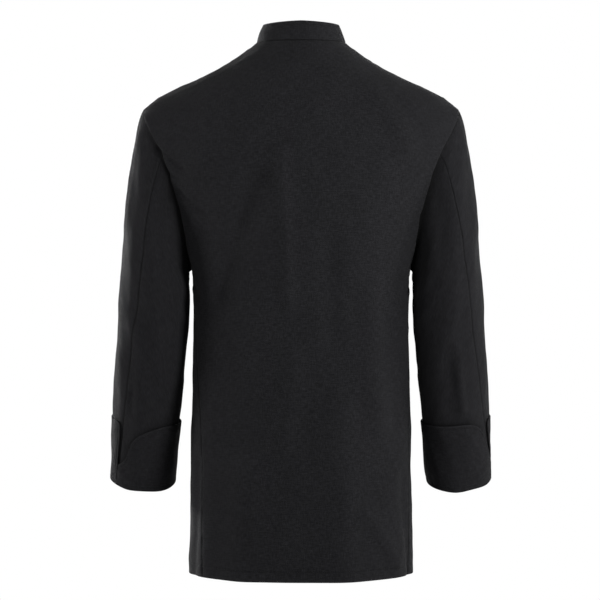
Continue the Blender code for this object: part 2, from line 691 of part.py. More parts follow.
# ---------------------------------------------------------------- buttons
def add_button(name, x, z, shade):
    """A low domed button standing just off the outer front."""
    point, normal = torso_place(x, z, -1)
    point = point + normal * (lap_lift(point, LEFT) + SEAM_GAP)
    side = UP.cross(normal).normalized()
    up = normal.cross(side)
    points = []
    for rise, spread in BUTTON_RINGS:
        for i in range(BUTTON_SIDES):
            angle = 2 * math.pi * i / BUTTON_SIDES
            reach = side * math.cos(angle) + up * math.sin(angle)
            points.append(point + normal * (BUTTON_HEIGHT * rise) + reach * (BUTTON_RADIUS * spread))
    faces = [list(range(BUTTON_SIDES)), [2 * BUTTON_SIDES + i for i in range(BUTTON_SIDES)][::-1]]
    for ring in range(len(BUTTON_RINGS) - 1):
        for i in range(BUTTON_SIDES):
            after = (i + 1) % BUTTON_SIDES
            low, high = ring * BUTTON_SIDES, (ring + 1) * BUTTON_SIDES
            faces.append([low + i, high + i, high + after, low + after])
    return add_object(name, points, faces, shade)


# ---------------------------------------------------------------- the jacket
def main():
    for old in list(bpy.data.objects):
        bpy.data.objects.remove(old, do_unlink=True)
    twill = material("black_twill", (0.016, 0.017, 0.019), 0.85)
    button = material("black_button", (0.012, 0.012, 0.013), 0.35)

    add_back(twill)
    add_front("front_left", LEFT, True, twill)
    add_front("front_right", RIGHT, False, twill)
    add_collar(twill)
    for side, hand in (("left", LEFT), ("right", RIGHT)):
        add_sleeve_piece(f"sleeve_{side}_top", hand, top_columns, twill)
        add_sleeve_piece(f"sleeve_{side}_under", hand, under_columns, twill)
        add_cuff(f"cuff_{side}", hand, twill)
    for row in range(BUTTON_ROWS):
        z = BUTTON_TOP_Z - BUTTON_STEP * row
        add_button(f"button_left_{row + 1}", BUTTON_COLUMN_X, z, button)
        add_button(f"button_right_{row + 1}", -BUTTON_COLUMN_X, z, button)


main()
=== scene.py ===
"""Chef jacket: the cloth, stitching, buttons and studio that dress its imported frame.

Metres, +Z up. The front faces -Y and the wearer's left is +X. Each cloth piece is a thin shell whose
outer face is worked out from the sections of the body and the sleeves, with its folds, its turned
edges and its stitched grooves in the mesh. Stitches and buttons are repeated by Geometry Nodes.
"""
import math
from types import SimpleNamespace

import bmesh
import bpy
import numpy as np
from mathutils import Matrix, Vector


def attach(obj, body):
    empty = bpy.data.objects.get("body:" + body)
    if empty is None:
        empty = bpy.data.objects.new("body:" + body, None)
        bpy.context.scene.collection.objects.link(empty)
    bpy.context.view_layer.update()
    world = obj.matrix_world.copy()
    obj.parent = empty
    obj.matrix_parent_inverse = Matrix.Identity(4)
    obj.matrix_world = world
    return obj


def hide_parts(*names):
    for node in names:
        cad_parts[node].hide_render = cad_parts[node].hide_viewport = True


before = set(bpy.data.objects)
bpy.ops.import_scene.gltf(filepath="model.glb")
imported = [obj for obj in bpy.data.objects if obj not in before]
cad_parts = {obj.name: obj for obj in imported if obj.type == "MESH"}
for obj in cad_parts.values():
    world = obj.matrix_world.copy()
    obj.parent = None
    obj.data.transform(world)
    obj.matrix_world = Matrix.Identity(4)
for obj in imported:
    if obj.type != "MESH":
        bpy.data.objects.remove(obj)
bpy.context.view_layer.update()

bl_info = {
    "name": "Chef Jacket",
    "version": (1, 0, 0),
    "blender": (4, 5, 0),
    "location": "3D View > Sidebar > Jacket",
    "description": "Dresses the frame of a double-breasted chef jacket in stitched black twill",
    "category": "Object",
}

LEFT, RIGHT = 1, -1
SIDE_NAMES = {LEFT: "left", RIGHT: "right"}
UP = np.array((0.0, 0.0, 1.0))

# ---------------------------------------------------------------- sizes of the pattern
NECK_SIDE_Z = 0.0075        # collar seam at the side of the neck
NECK_BACK_DROP = 0.0015     # how much lower the seam is at the centre back
NECK_FRONT_DROP = 0.0625    # and at the centre front
SHOULDER_Z = -0.098         # shoulder point, top of the armhole
UNDERARM_Z = -0.345         # bottom of the armhole, top of the side seam
HEM_Z = -0.811
HEM_DROP = 0.0040           # how much lower the hem is at the centre than at the sides
LAP_HALF = 0.085            # how far each front passes the centre front
LAP_LIFT = 0.0028           # how far the outer front stands over the inner one
LAP_FADE_X = (LAP_HALF + 0.030, LAP_HALF + 0.060)   # where it comes down again beside the lap
LAP_FADE_Z = (-0.018, -0.046)                       # and where it rises, below the neck
NECK_DROP_POWER = 0.6       # roundness of the neckline's drop to the centre
NECK_FADE_POWER = 1.3       # how soon the rows below the neckline run level
UNDERARM_JOIN_Z = -0.320    # below it the armhole's edge runs round under the arm
UNDERARM_POWER = 1.35
EVEN_SPREAD = 0.8           # how evenly a row's columns are spread beside the armhole
EVEN_RANGE = 0.070          # and over which height that sets in at its two ends
WRIST_Z = -0.6725           # centre of the turned edge of the cuff
SLEEVE_TOP_Z = -0.370       # end of the sleeve head, level 1 of the sleeve
SLEEVE_SPAN = 0.010         # half the stretch that a sleeve section takes its direction from
SLEEVE_END = 1.985          # its cloth ends just above the cuff's turned edge, which is level 2
ARMHOLE_BACK_SEAM = 65.0    # where the sleeve's seams meet the armhole, as angles round it
ARMHOLE_FRONT_SEAM = 180.0 + (180.0 - ARMHOLE_BACK_SEAM) * 3 / 8
HEAD_FOLD_LEVEL = 0.3       # folds grow from nothing at the armhole to full at this level
CUFF_FOLD_LEVELS = (1.57, 1.64)     # and fade out between these, under the cuff
CUFF_HEIGHT = 0.1045        # the cuff's height where it is highest
CUFF_FALL = 0.0140          # how much lower it is on the other side of the arm
CUFF_HIGH_DEG = 80.0        # where it is highest, as an angle round the sleeve
COLLAR_END_DEG = 176.0      # where the collar ends, round from the centre back
COLLAR_CORNER = 0.012       # radius of the collar's front corners

BODY_RADIUS = 0.150         # turn angles into distances round the body, the sleeve and the cuff
SLEEVE_RADIUS = 0.058
CUFF_RADIUS = 0.052
SMALL_TURN = 0.5            # steps that give directions, in degrees, in levels of the sleeve and in metres
SMALL_LEVEL = 0.004
SMALL_STEP = 1e-5
TINY = 1e-12                # keeps a length of nothing out of a division
DENSE = 241                 # samples along a row while its length is measured

# ---------------------------------------------------------------- edges, stitches, buttons and stage
NECK_NEAR_SHARE = 0.75      # height between rows below the neck seam, over the way along the cloth
SHOULDER_ROW_SHARE = 0.50   # height between rows on the shoulder, over the grid's spacing
ARMHOLE_ROW_SHARE = 1.25    # number of rows beside the armhole, over its height in grid steps
ARMHOLE_GAP = 0.00005       # between the armhole's edge and the sleeve's first row
ARMHOLE_STAND = 0.0015      # how far the panels' turned edges stand up beside the sleeves
ARMHOLE_STAND_FADE = (0.0030, 0.0160)               # and where they come down again
ARMHOLE_STAND_TOP, ARMHOLE_STAND_LOW = 0.02, 0.03   # heights over which that sets in at its two ends
ARMHOLE_SINK = 0.0034       # how deep the sleeve dips beside them
ARMHOLE_SINK_REACH = (0.0014, 0.0095)               # how soon that sets in, and how far it runs
ARMHOLE_PAINTED_SHADE = ((0.66, 0.0080), (0.56, 0.0300))     # painted shade on the sleeve beside them: how dark it is painted, and how far
ARMHOLE_DIP_AND_SHADE_TURN = (5.0, 115.0)    # angles from the shoulder point between which the dip and the painted shade both set in
OVER_SHOULDER_Y = 0.12      # above the chest the flat places also count the way over the shoulder
OVER_SHOULDER_Z = (-0.26, -0.05)
VALLEY_REACH = 0.0017       # half-width of a seam's valley
COLLAR_LIFT = 0.00005       # between the neckline and the collar's foot
COLLAR_TUCK = 0.0024        # how far that goes down inside the neckline where the shoulders lie flat
COLLAR_SWELL = 0.0007       # the collar rounds out between its seam and its top edge
COLLAR_GRID = 0.0030
NECK_RADIUS = 0.070         # turns distances round the collar into angles
ROW_PARTS = 60              # samples across a sleeve piece while its rows are placed
ROLL_DEPTH = 0.48           # share of the thickness that an edge rounds off on each face
GROOVE_DEPTH = 0.00030      # the groove that a row of stitches pulls in
GROOVE_WIDTH = 0.0008
# Painted shade deep in the groove that a row of stitches pulls in.
STITCH_GROOVE_SHADE = 0.45
HEM_LAYERS = 0.0010         # how much thicker the hem is inside
HEM_STEP = 0.0009           # how soon that ends
PUCKER = 0.00022            # rise of the small ripples that a seam draws up
PUCKER_REACH = 0.0050       # how far from the seam they are highest
PUCKER_WAVES = (            # length, start and share of each wave
    (0.0143, 0.0, 1.0), (0.0221, 1.7, 0.9), (0.0372, 4.1, 1.1), (0.0097, 2.6, 0.5))
UNEVEN = 0.00042            # rise of the cloth's broad unevenness
UNEVEN_WAVES = (            # length, direction, start and share of each wave
    (0.071, 0.4, 0.2, 1.0), (0.093, 1.9, 2.1, 1.0), (0.052, 2.7, 4.0, 0.7), (0.131, 0.9, 5.1, 1.3),
    (0.038, 1.2, 1.1, 0.4))
UNEVEN_FADE = (0.004, 0.030)        # how far from the edges it sets in
WEAR_REACH = 0.0022         # how far in from an edge its wear goes
INSET_SHARE = 0.96          # an inset line's loops come closer to the outline than this share
INSET_POINTS = 400
NEAREST = 4                 # grid points that a place between them is read from
NEAREST_FLOOR = 1e-5        # added to their distances, so that none is nothing

CUFF_GAP = 0.0011           # between the sleeve and the turned-back cuff
CUFF_GRID = 0.0025
CUFF_FOLD_ROWS = 13         # rows round the turned edge
CUFF_RETURN = 0.016         # how far the cuff's cloth is seen to run up inside the sleeve
CUFF_RETURN_ROWS = 6
CUFF_SLIT_FOOT = 0.033      # how far above the turned edge the slit closes
CUFF_SLIT_POINTS = 60
CUFF_FOLD_STITCH = 0.0095   # how far above that edge its row of stitches lies
CUFF_PAINTED_SHADOW = 0.70           # painted shadow: how dark the sleeve is painted right beside the cuff's edge
CUFF_PAINTED_SHADOW_REACH = 0.0030

BUTTON_COLUMN_X = 0.068     # from the centre to each column
BUTTON_TOP_Z = -0.088       # the highest two
BUTTON_STEP = 0.118         # and from each to the next
BUTTON_ROWS = 5
BUTTON_SIDES = 32
BUTTON_CLEAR = 0.0002       # between a button and the cloth
BUTTON_PROFILE = (          # share of the radius, share of the height, from the underside to the dish
    (0.78, 0.02), (0.92, 0.10), (0.985, 0.26), (1.0, 0.46), (0.995, 0.66), (0.96, 0.87), (0.90, 0.98),
    (0.84, 1.0), (0.78, 0.95), (0.71, 0.80), (0.64, 0.70), (0.55, 0.67))
BUTTON_HOLE = 0.105         # radius of a hole, and half the way between two, over the button's radius
BUTTON_HOLE_SPREAD = 0.20
HOLE_SIDES = 12
BUTTONHOLE_BACK = 0.0035    # how far a buttonhole runs past its button's middle, towards the edge
BUTTONHOLE_HALF = 0.0011    # half the distance between its two rows of satin stitches
SATIN_PITCH = 0.00042
SATIN_WIDTH = 0.0019
SATIN_UNEVEN, SATIN_TURN = 0.10, 0.06       # how much these differ in size and in direction
SATIN_END = 1.7             # length of the bars at its ends, over the distance between the rows
SATIN_POINTS, SATIN_END_POINTS = 24, 6
SWING_SEED, LENGTH_SEED = 7, 11             # of the stitches' directions and sizes
STITCH_UNEVEN, STITCH_TURN = 0.07, 0.07     # the same for the topstitching
THREAD_SIDES = 6
THREAD_STEPS = 4
THREAD_ARCH = 0.95          # height of a stitch's middle over its ends, in threads
THREAD_DIP = 0.50           # how deep its ends dip into the cloth, in threads
THREAD_TAPER = 0.35         # how much thinner its ends are
THREAD_FLAT = 0.8           # height of its section over the width
BUTTON_THREAD_LENGTH = 3.1  # length of a thread across a button, over half the way between two holes
BUTTON_THREAD_TALL = 3.0    # and its height, in threads
BUTTON_SHARP_DEG = 50.0     # edges that turn more than this look sharp

FLOOR_RADIUS, FLOOR_SIDES, FLOOR_Z = 3.0, 96, -1.6
AMBIENT, BACKGROUND = 0.27, 1.0     # strength of the surroundings as light, and as they are seen
CAMERA_PLACE = (0.0016, 3.95, -0.3906)
CAMERA_TURN = (90.0, 0.0, 180.0)    # level, looking along -Y
CAMERA_LENS, CAMERA_SENSOR, CAMERA_REACH = 152.9, 36.0, 100.0   # in mm, the reach in metres
LAMPS = (                   # name, place, target, size and power
    ("key", (-1.63, 1.8, -0.02), (0.0, 0.0, 2.08), (0.7, 0.7), 119.0),
    ("fill", (1.5, 2.5, 0.35), (0.0, 0.0, 2.80), (1.2, 1.2), 43.0),
    ("left_side", (2.6, -0.30, 0.15), (0.25, 0.0, 0.00), (0.8, 1.4), 62.0),
    ("right_side", (-2.7, -0.30, 0.15), (-0.25, 0.0, 0.00), (0.8, 1.4), 46.0),
    ("front_key", (1.63, -1.8, -0.02), (0.0, 0.0, 2.08), (0.7, 0.7), 119.0),
    ("front_fill", (-1.5, -2.5, 0.35), (0.0, 0.0, 2.80), (1.2, 1.2), 46.0))


# ---------------------------------------------------------------- tables
def smooth_slopes(keys, values):
    """Slopes of a cubic through the values that never overshoots them."""
    steps = np.diff(values, axis=0) / np.diff(keys)[:, None]
    product = steps[:-1] * steps[1:]
    total = np.where(product > 0, steps[:-1] + steps[1:], 1.0)
    inner = np.where(product > 0, 2 * product / total, 0.0)
    return np.vstack([steps[:1], inner, steps[-1:]])


def cubic_shares(t):
    """Shares of a cubic's two ends and of its two slopes, t of the way along it."""
    return (1 + 2 * t) * (1 - t) ** 2, t * t * (3 - 2 * t), t * (1 - t) ** 2, t * t * (1 - t)


class Table:
    """Rows of named columns, read smoothly between the rows by their first column."""

    def __init__(self, names, *rows):
        data = np.array(sorted(rows), float)
        self.names = names.split()[1:]
        self.keys, self.values = data[:, 0], data[:, 1:]
        self.slopes = smooth_slopes(self.keys, self.values)

    def at(self, key):
        """The columns at a key, which may be a grid of them."""
        key = np.clip(np.asarray(key, float), self.keys[0], self.keys[-1])
        row = np.clip(np.searchsorted(self.keys, key, side="right") - 1, 0, len(self.keys) - 2)
        span = self.keys[row + 1] - self.keys[row]
        t = ((key - self.keys[row]) / span)[..., None]
        first, last, leave, arrive = cubic_shares(t)
        value = (self.values[row] * first + self.values[row + 1] * last
                 + span[..., None] * (self.slopes[row] * leave - self.slopes[row + 1] * arrive))
        return SimpleNamespace(**{name: value[..., i] for i, name in enumerate(self.names)})


# Level sections of the body: the half-width follows the shoulder line down to the shoulder point.
TORSO = Table(
    "z half_width back front roundness",
    (0.0075, 0.0690, 0.068, 0.012, 2.00),
    (0.0040, 0.0730, 0.070, 0.0213, 2.00),
    (-0.0040, 0.0835, 0.075, 0.0325, 2.00),
    (-0.0190, 0.1055, 0.083, 0.0480, 2.00),
    (-0.0340, 0.1300, 0.090, 0.0620, 2.00),
    (-0.0500, 0.1620, 0.097, 0.0755, 2.00),
    (-0.0650, 0.1960, 0.102, 0.0850, 2.00),
    (-0.0810, 0.2255, 0.106, 0.0930, 2.02),
    (-0.0980, 0.2450, 0.110, 0.1000, 2.05),
    (-0.1070, 0.2515, 0.112, 0.1030, 2.05),
    (-0.1180, 0.2545, 0.114, 0.1070, 2.08),
    (-0.1330, 0.2530, 0.116, 0.1110, 2.10),
    (-0.1680, 0.2390, 0.120, 0.1200, 2.15),
    (-0.2100, 0.2175, 0.123, 0.1290, 2.20),
    (-0.2700, 0.1900, 0.124, 0.1370, 2.28),
    (-0.3200, 0.1745, 0.123, 0.1410, 2.34),
    (-0.3450, 0.1692, 0.122, 0.1420, 2.36),
    (-0.3700, 0.1672, 0.121, 0.1425, 2.38),
    (-0.4200, 0.1664, 0.120, 0.1430, 2.40),
    (-0.5450, 0.1690, 0.120, 0.1430, 2.42),
    (-0.7000, 0.1713, 0.125, 0.1420, 2.42),
    (-0.8110, 0.1735, 0.130, 0.1420, 2.42))

ARMHOLE = Table(
    "z back_x front_x",
    (-0.0980, 0.2450, 0.2450),
    (-0.1150, 0.2395, 0.2370),
    (-0.1330, 0.2310, 0.2265),
    (-0.1680, 0.2125, 0.2040),
    (-0.2100, 0.1975, 0.1870),
    (-0.2700, 0.1812, 0.1745),
    (-0.3200, 0.1730, 0.1712),
    (-0.3450, 0.1692, 0.1692))

# Side seams, as the angle round from the centre back, where 90 degrees is the side.
SIDE_SEAM = Table(
    "z left_deg right_deg",
    (UNDERARM_Z, 90.0, 90.0),
    (-0.45, 76.0, 82.0),
    (-0.60, 64.0, 76.0),
    (HEM_Z, 60.0, 74.0))

SLEEVE = Table(
    "z x y half_width half_depth",
    (-0.370, 0.2252, 0.0020, 0.0550, 0.0725),
    (-0.430, 0.2295, 0.0000, 0.0548, 0.0680),
    (-0.500, 0.2352, -0.0090, 0.0545, 0.0625),
    (-0.545, 0.2388, -0.0205, 0.0536, 0.0580),
    (-0.590, 0.2420, -0.0335, 0.0512, 0.0540),
    (-0.640, 0.2456, -0.0490, 0.0494, 0.0505),
    (WRIST_Z, 0.2480, -0.0600, 0.0486, 0.0490))

# How the sleeve leaves the armhole, round from the shoulder point over the back to the underarm.
SLEEVE_HEAD = Table(
    "deg turn_deg reach",
    (0.0, -18.0, 0.118),
    (30.0, -2.0, 0.090),
    (60.0, 16.0, 0.062),
    (90.0, 34.0, 0.056),
    (120.0, 66.0, 0.048),
    (150.0, 122.0, 0.032),
    (180.0, 172.0, 0.020))

SLEEVE_SEAMS = Table(
    "level left_back left_front right_back right_front",
    (0.00, ARMHOLE_BACK_SEAM, ARMHOLE_FRONT_SEAM, ARMHOLE_BACK_SEAM, ARMHOLE_FRONT_SEAM),
    (0.25, 68.5, 222.0, 65.0, 222.0),
    (0.87, 68.5, 219.0, 57.5, 217.0),
    (1.02, 67.0, 218.0, 55.2, 215.0),
    (1.23, 61.2, 216.0, 51.8, 212.0),
    (1.42, 56.8, 214.0, 46.0, 208.0),
    (1.61, 51.5, 212.0, 38.0, 203.0),
    (1.75, 46.0, 210.0, 26.0, 200.0),
    (1.87, 40.5, 208.0, 14.0, 198.0),
    (2.00, 36.0, 206.0, 7.0, 196.0))

# How far each side of a cuff's slit stands off the back seam. Below the slit the cuff is whole.
CUFF_EDGES = Table(
    "height left right outer",
    (0.0000, 0.0000, 0.0000, 0.0000),
    (0.0330, 0.0000, 0.0000, 0.0000),
    (0.0410, 0.0098, 0.0020, 0.0008),
    (0.0490, 0.0150, 0.0036, 0.0013),
    (0.0620, 0.0174, 0.0060, 0.0019),
    (0.0750, 0.0208, 0.0084, 0.0025),
    (0.0860, 0.0288, 0.0114, 0.0031),
    (0.0945, 0.0410, 0.0158, 0.0038),
    (0.0995, 0.0520, 0.0212, 0.0053),
    (0.1030, 0.0650, 0.0275, 0.0090),
    (CUFF_HEIGHT, 0.0780, 0.0360, 0.0145))

# Soft dents and rises of the turned-back cuffs, by flat place across and height above the turned edge.
CUFF_FOLDS = {
    LEFT: (
        (0.0030, 0.0290, 0.0240, 0.0275, 0.0024, -0.0007),
        (0.0080, 0.0220, 0.0460, 0.0120, 0.0040, 0.0010),
        (0.0180, 0.0285, 0.0380, 0.0200, 0.0030, -0.0006),
        (0.0620, 0.0180, 0.0860, 0.0240, 0.0060, 0.0008),
        (0.0520, 0.0980, 0.0700, 0.0900, 0.0050, 0.0009),
        (0.0900, 0.0900, 0.0960, 0.0350, 0.0120, 0.0011),
        (0.1500, 0.0900, 0.1600, 0.0200, 0.0140, 0.0012),
        (0.2200, 0.0850, 0.2300, 0.0150, 0.0120, 0.0010),
        (0.2800, 0.0700, 0.2700, 0.0100, 0.0110, 0.0009)),
    RIGHT: (
        (0.0740, 0.0960, 0.0800, 0.0050, 0.0120, 0.0015),
        (0.0360, 0.0840, 0.0280, 0.0500, 0.0050, 0.0009),
        (0.0460, 0.0520, 0.0340, 0.0340, 0.0040, -0.0006),
        (0.0180, 0.0300, 0.0440, 0.0180, 0.0040, 0.0008),
        (0.1140, 0.0880, 0.1060, 0.0260, 0.0100, 0.0011),
        (0.1700, 0.0900, 0.1620, 0.0200, 0.0140, 0.0012),
        (0.2350, 0.0850, 0.2250, 0.0150, 0.0120, 0.0010),
        (0.2900, 0.0700, 0.2820, 0.0100, 0.0110, 0.0009))}

COLLAR = Table(
    "deg height lean_deg",
    (0.0, 0.0335, 20.0),
    (90.0, 0.0300, 20.0),
    (180.0, 0.0300, 8.0))

# Soft folds: both ends as an angle and a height, the half-width, and how far the cloth stands out.
# On the body the angle is round from the centre back, positive on the wearer's left.
BODY_FOLDS = (
    (8, -0.165, 7, -0.400, 0.0095, 0.0062),
    (19, -0.205, 45, -0.382, 0.0175, -0.0090),
    (44, -0.470, 39, -0.610, 0.0320, -0.0080),
    (-19, -0.570, -22, -0.811, 0.0280, 0.0088),
    (-34, -0.715, -52, -0.793, 0.0130, 0.0052),
    (28, -0.650, 29, -0.811, 0.0220, 0.0080),
    (-38, -0.376, -39, -0.580, 0.0200, 0.0050),
    (-14, -0.290, -17, -0.436, 0.0120, -0.0036),
    (-31, -0.095, -40, -0.160, 0.0120, 0.0034),
    (34, -0.120, 40, -0.190, 0.0200, 0.0044),
    (4, -0.470, 10, -0.620, 0.0160, 0.0046),
    (-2, -0.100, -3, -0.200, 0.0180, 0.0024),
    (-60, -0.660, -68, -0.811, 0.0120, -0.0036),
    (62, -0.640, 66, -0.811, 0.0120, -0.0032),
    (100, -0.420, 118, -0.811, 0.0220, -0.0056),
    (-102, -0.440, -116, -0.811, 0.0220, -0.0056),
    (118, -0.220, 142, -0.350, 0.0170, -0.0066),
    (-121, -0.232, -146, -0.372, 0.0180, -0.0060),
    (-128, -0.150, -140, -0.215, 0.0150, 0.0036),
    (128, -0.148, 137, -0.204, 0.0150, 0.0034),
    (146, -0.430, 150, -0.600, 0.0170, -0.0052),
    (131, -0.540, 136, -0.811, 0.0200, 0.0070),
    (-136, -0.560, -142, -0.811, 0.0190, 0.0066),
    (-152, -0.640, -155, -0.811, 0.0170, -0.0050),
    (164, -0.660, 162, -0.811, 0.0160, 0.0044),
    (-160, -0.300, -152, -0.440, 0.0150, -0.0044))
# Smaller creases, in the same columns.
BODY_CREASES = (
    (62, -0.160, 50, -0.195, 0.0045, -0.0034),
    (58, -0.156, 46, -0.184, 0.0040, 0.0028),
    (66, -0.186, 55, -0.214, 0.0042, -0.0026),
    (60, -0.224, 47, -0.264, 0.0050, -0.0032),
    (57, -0.214, 44, -0.250, 0.0045, 0.0026),
    (64, -0.250, 52, -0.290, 0.0070, -0.0012),
    (-66, -0.185, -56, -0.214, 0.0060, -0.0011),
    (-68, -0.262, -54, -0.300, 0.0080, -0.0013),
    (84, -0.356, 60, -0.392, 0.0080, -0.0016),
    (82, -0.372, 63, -0.418, 0.0070, 0.0012),
    (-86, -0.358, -64, -0.398, 0.0080, -0.0015),
    (-84, -0.376, -66, -0.430, 0.0075, 0.0011),
    (96, -0.360, 118, -0.402, 0.0080, -0.0018),
    (97, -0.380, 112, -0.436, 0.0070, 0.0013),
    (-96, -0.362, -120, -0.398, 0.0080, -0.0018),
    (-98, -0.384, -114, -0.442, 0.0075, 0.0013),
    (20, -0.450, 27, -0.560, 0.0110, -0.0012),
    (-12, -0.330, -16, -0.470, 0.0130, -0.0011),
    (46, -0.420, 50, -0.600, 0.0120, 0.0012),
    (-50, -0.430, -53, -0.620, 0.0130, -0.0013),
    (112, -0.520, 116, -0.700, 0.0130, 0.0016),
    (-110, -0.560, -112, -0.760, 0.0130, 0.0016),
    (150, -0.190, 160, -0.270, 0.0110, -0.0014),
    (-152, -0.200, -162, -0.290, 0.0110, -0.0014),
    (52, -0.100, 38, -0.142, 0.0130, -0.0014),
    (-50, -0.104, -37, -0.150, 0.0130, -0.0013))

# Folds and smaller creases of the sleeves: the angle is round from the outer side over the back.
SLEEVE_FOLDS = {
    LEFT: (
        (62, -0.402, 93, -0.456, 0.009, -0.0032),
        (58, -0.428, 88, -0.484, 0.010, 0.0024),
        (64, -0.530, 66, -0.592, 0.006, -0.0026),
        (76, -0.520, 78, -0.592, 0.009, 0.0022),
        (200, -0.430, 250, -0.450, 0.012, -0.0032),
        (205, -0.480, 262, -0.505, 0.012, -0.0032),
        (212, -0.455, 262, -0.478, 0.011, 0.0026),
        (95, -0.500, 120, -0.570, 0.013, -0.0024),
        (20, -0.300, 350, -0.420, 0.018, -0.0026),
        (300, -0.220, 318, -0.330, 0.016, -0.0030),
        (72, -0.392, 100, -0.430, 0.0060, -0.0014),
        (66, -0.414, 92, -0.462, 0.0050, 0.0012),
        (118, -0.360, 160, -0.405, 0.0080, -0.0016),
        (126, -0.395, 168, -0.432, 0.0070, 0.0013),
        (190, -0.505, 236, -0.535, 0.0070, -0.0018),
        (224, -0.412, 276, -0.428, 0.0070, -0.0016),
        (230, -0.520, 290, -0.548, 0.0070, 0.0014),
        (84, -0.240, 96, -0.330, 0.0100, -0.0018),
        (30, -0.180, 40, -0.280, 0.0120, -0.0012),
        (330, -0.240, 336, -0.360, 0.0120, -0.0014),
        (286, -0.300, 268, -0.390, 0.0100, -0.0020),
        (58, -0.480, 82, -0.560, 0.0080, -0.0012)),
    RIGHT: (
        (82, -0.467, 84, -0.592, 0.009, 0.0036),
        (100, -0.480, 102, -0.592, 0.010, -0.0022),
        (64, -0.440, 100, -0.500, 0.013, -0.0028),
        (198, -0.420, 248, -0.445, 0.012, -0.0032),
        (206, -0.470, 260, -0.498, 0.012, -0.0032),
        (214, -0.446, 262, -0.470, 0.011, 0.0026),
        (16, -0.310, 348, -0.430, 0.018, -0.0026),
        (304, -0.230, 320, -0.340, 0.016, -0.0030),
        (84, -0.500, 76, -0.582, 0.0050, 0.0014),
        (93, -0.510, 86, -0.586, 0.0050, -0.0014),
        (112, -0.365, 156, -0.404, 0.0080, -0.0016),
        (120, -0.398, 164, -0.436, 0.0070, 0.0013),
        (188, -0.498, 238, -0.530, 0.0070, -0.0018),
        (222, -0.404, 276, -0.422, 0.0070, -0.0016),
        (232, -0.512, 288, -0.540, 0.0070, 0.0014),
        (86, -0.236, 98, -0.322, 0.0100, -0.0018),
        (28, -0.190, 38, -0.290, 0.0120, -0.0012),
        (332, -0.250, 338, -0.366, 0.0120, -0.0014),
        (284, -0.310, 268, -0.396, 0.0100, -0.0020),
        (62, -0.350, 74, -0.430, 0.0080, -0.0010))}


# ---------------------------------------------------------------- settings a user would change
def length_setting(name, description, default):
    """A setting in metres."""
    return bpy.props.FloatProperty(name=name, description=description, default=default, unit="LENGTH")


def colour_setting(name, description, default):
    """A setting that is a colour."""
    return bpy.props.FloatVectorProperty(name=name, description=description, default=default,
                                         subtype="COLOR")


class JacketSizes(bpy.types.PropertyGroup):
    """Sizes of the cloth, its edges and its stitches."""
    cloth: length_setting("Cloth", "Thickness of one layer of twill", 0.0012)
    collar_cloth: length_setting("Collar cloth", "Thickness of the collar", 0.0023)
    cuff_cloth: length_setting("Cuff cloth", "Thickness of the cuff", 0.0018)
    grid: length_setting("Grid", "Spacing of the mesh away from its edges", 0.0050)
    stitch_pitch: length_setting("Stitch pitch", "Distance from stitch to stitch", 0.0031)
    stitch_length: length_setting("Stitch length", "Length of a stitch that shows", 0.0025)
    thread: length_setting("Thread", "Thickness of the sewing thread", 0.00042)
    button_radius: length_setting("Button radius", "Radius of a button", 0.0095)
    button_height: length_setting("Button height", "Height of a button", 0.0038)
    buttonhole: length_setting("Buttonhole", "Length of a buttonhole", 0.0210)
    weave_pitch: length_setting("Weave pitch", "Distance between the twill's diagonal ribs", 0.00095)


class JacketColours(bpy.types.PropertyGroup):
    """Colours of the cloth, the thread, the buttons and the stage."""
    twill: colour_setting("Twill", "Dyed cotton twill", (0.0046, 0.0046, 0.0052))
    worn: colour_setting("Worn twill", "Twill along edges and on ribs", (0.0150, 0.0150, 0.0168))
    # Painted shade: near black, mixed in where the cloth carries painted shade, in seams, grooves and beside
    # the armholes and cuffs.
    painted_shade_colour: colour_setting("Crease", "Twill deep in seams", (0.0006, 0.0006, 0.0006))
    thread: colour_setting("Thread", "Sewing thread", (0.0045, 0.0045, 0.0050))
    button: colour_setting("Button", "Button plastic", (0.010, 0.010, 0.011))
    floor: colour_setting("Floor", "Studio floor", (0.90, 0.90, 0.90))


# ---------------------------------------------------------------- small helpers
def fade(value, start, end):
    """0 up to start, 1 from end on, and a smooth step between."""
    t = np.clip((value - start) / (end - start), 0.0, 1.0)
    return t * t * (3 - 2 * t)


def bell(distance, width):
    """1 at no distance, falling off softly to nothing about twice the width away."""
    return np.exp(-(distance / width) ** 2)


def unit(vectors):
    """Vectors brought to length 1."""
    return vectors / np.maximum(np.linalg.norm(vectors, axis=-1, keepdims=True), TINY)


def stack(x, y, z):
    """Points from their three coordinates, which may be single numbers or grids."""
    return np.stack(np.broadcast_arrays(x, y, z), axis=-1).astype(float)


def running(points, axis=0):
    """Distance run along a line of points, or along one direction of a grid of them."""
    steps = np.linalg.norm(np.diff(points, axis=axis), axis=-1)
    start = np.zeros_like(np.take(steps, [0], axis=axis))
    return np.concatenate([start, np.cumsum(steps, axis=axis)], axis=axis)


def read_along(at, run, values):
    """Rows of a table of values at some distances along the line that they belong to."""
    return np.stack([np.interp(at, run, column) for column in values.T], axis=-1)


def round_angles(count):
    """Angles at even steps all round, in radians."""
    return [2 * math.pi * i / count for i in range(count)]


def in_scene(name, data):
    """A new object in the scene."""
    made = bpy.data.objects.new(name, data)
    bpy.context.scene.collection.objects.link(made)
    return made


def add_node(tree, kind, settings=None, inputs=None):
    """A node with its settings made first, then its sockets set to values or linked."""
    made = tree.nodes.new(kind)
    for key, value in (settings or {}).items():
        setattr(made, key, value)
    for key, value in (inputs or {}).items():
        value = getattr(value, "socket", value)
        if isinstance(value, bpy.types.NodeSocket):
            tree.links.new(value, made.inputs[key])
        else:
            made.inputs[key].default_value = value
    return made


def turned(along, out, degrees):
    """The direction at an angle from one unit vector towards another at right angles to it."""
    angle = np.radians(degrees)[..., None]
    return along * np.cos(angle) + out * np.sin(angle)


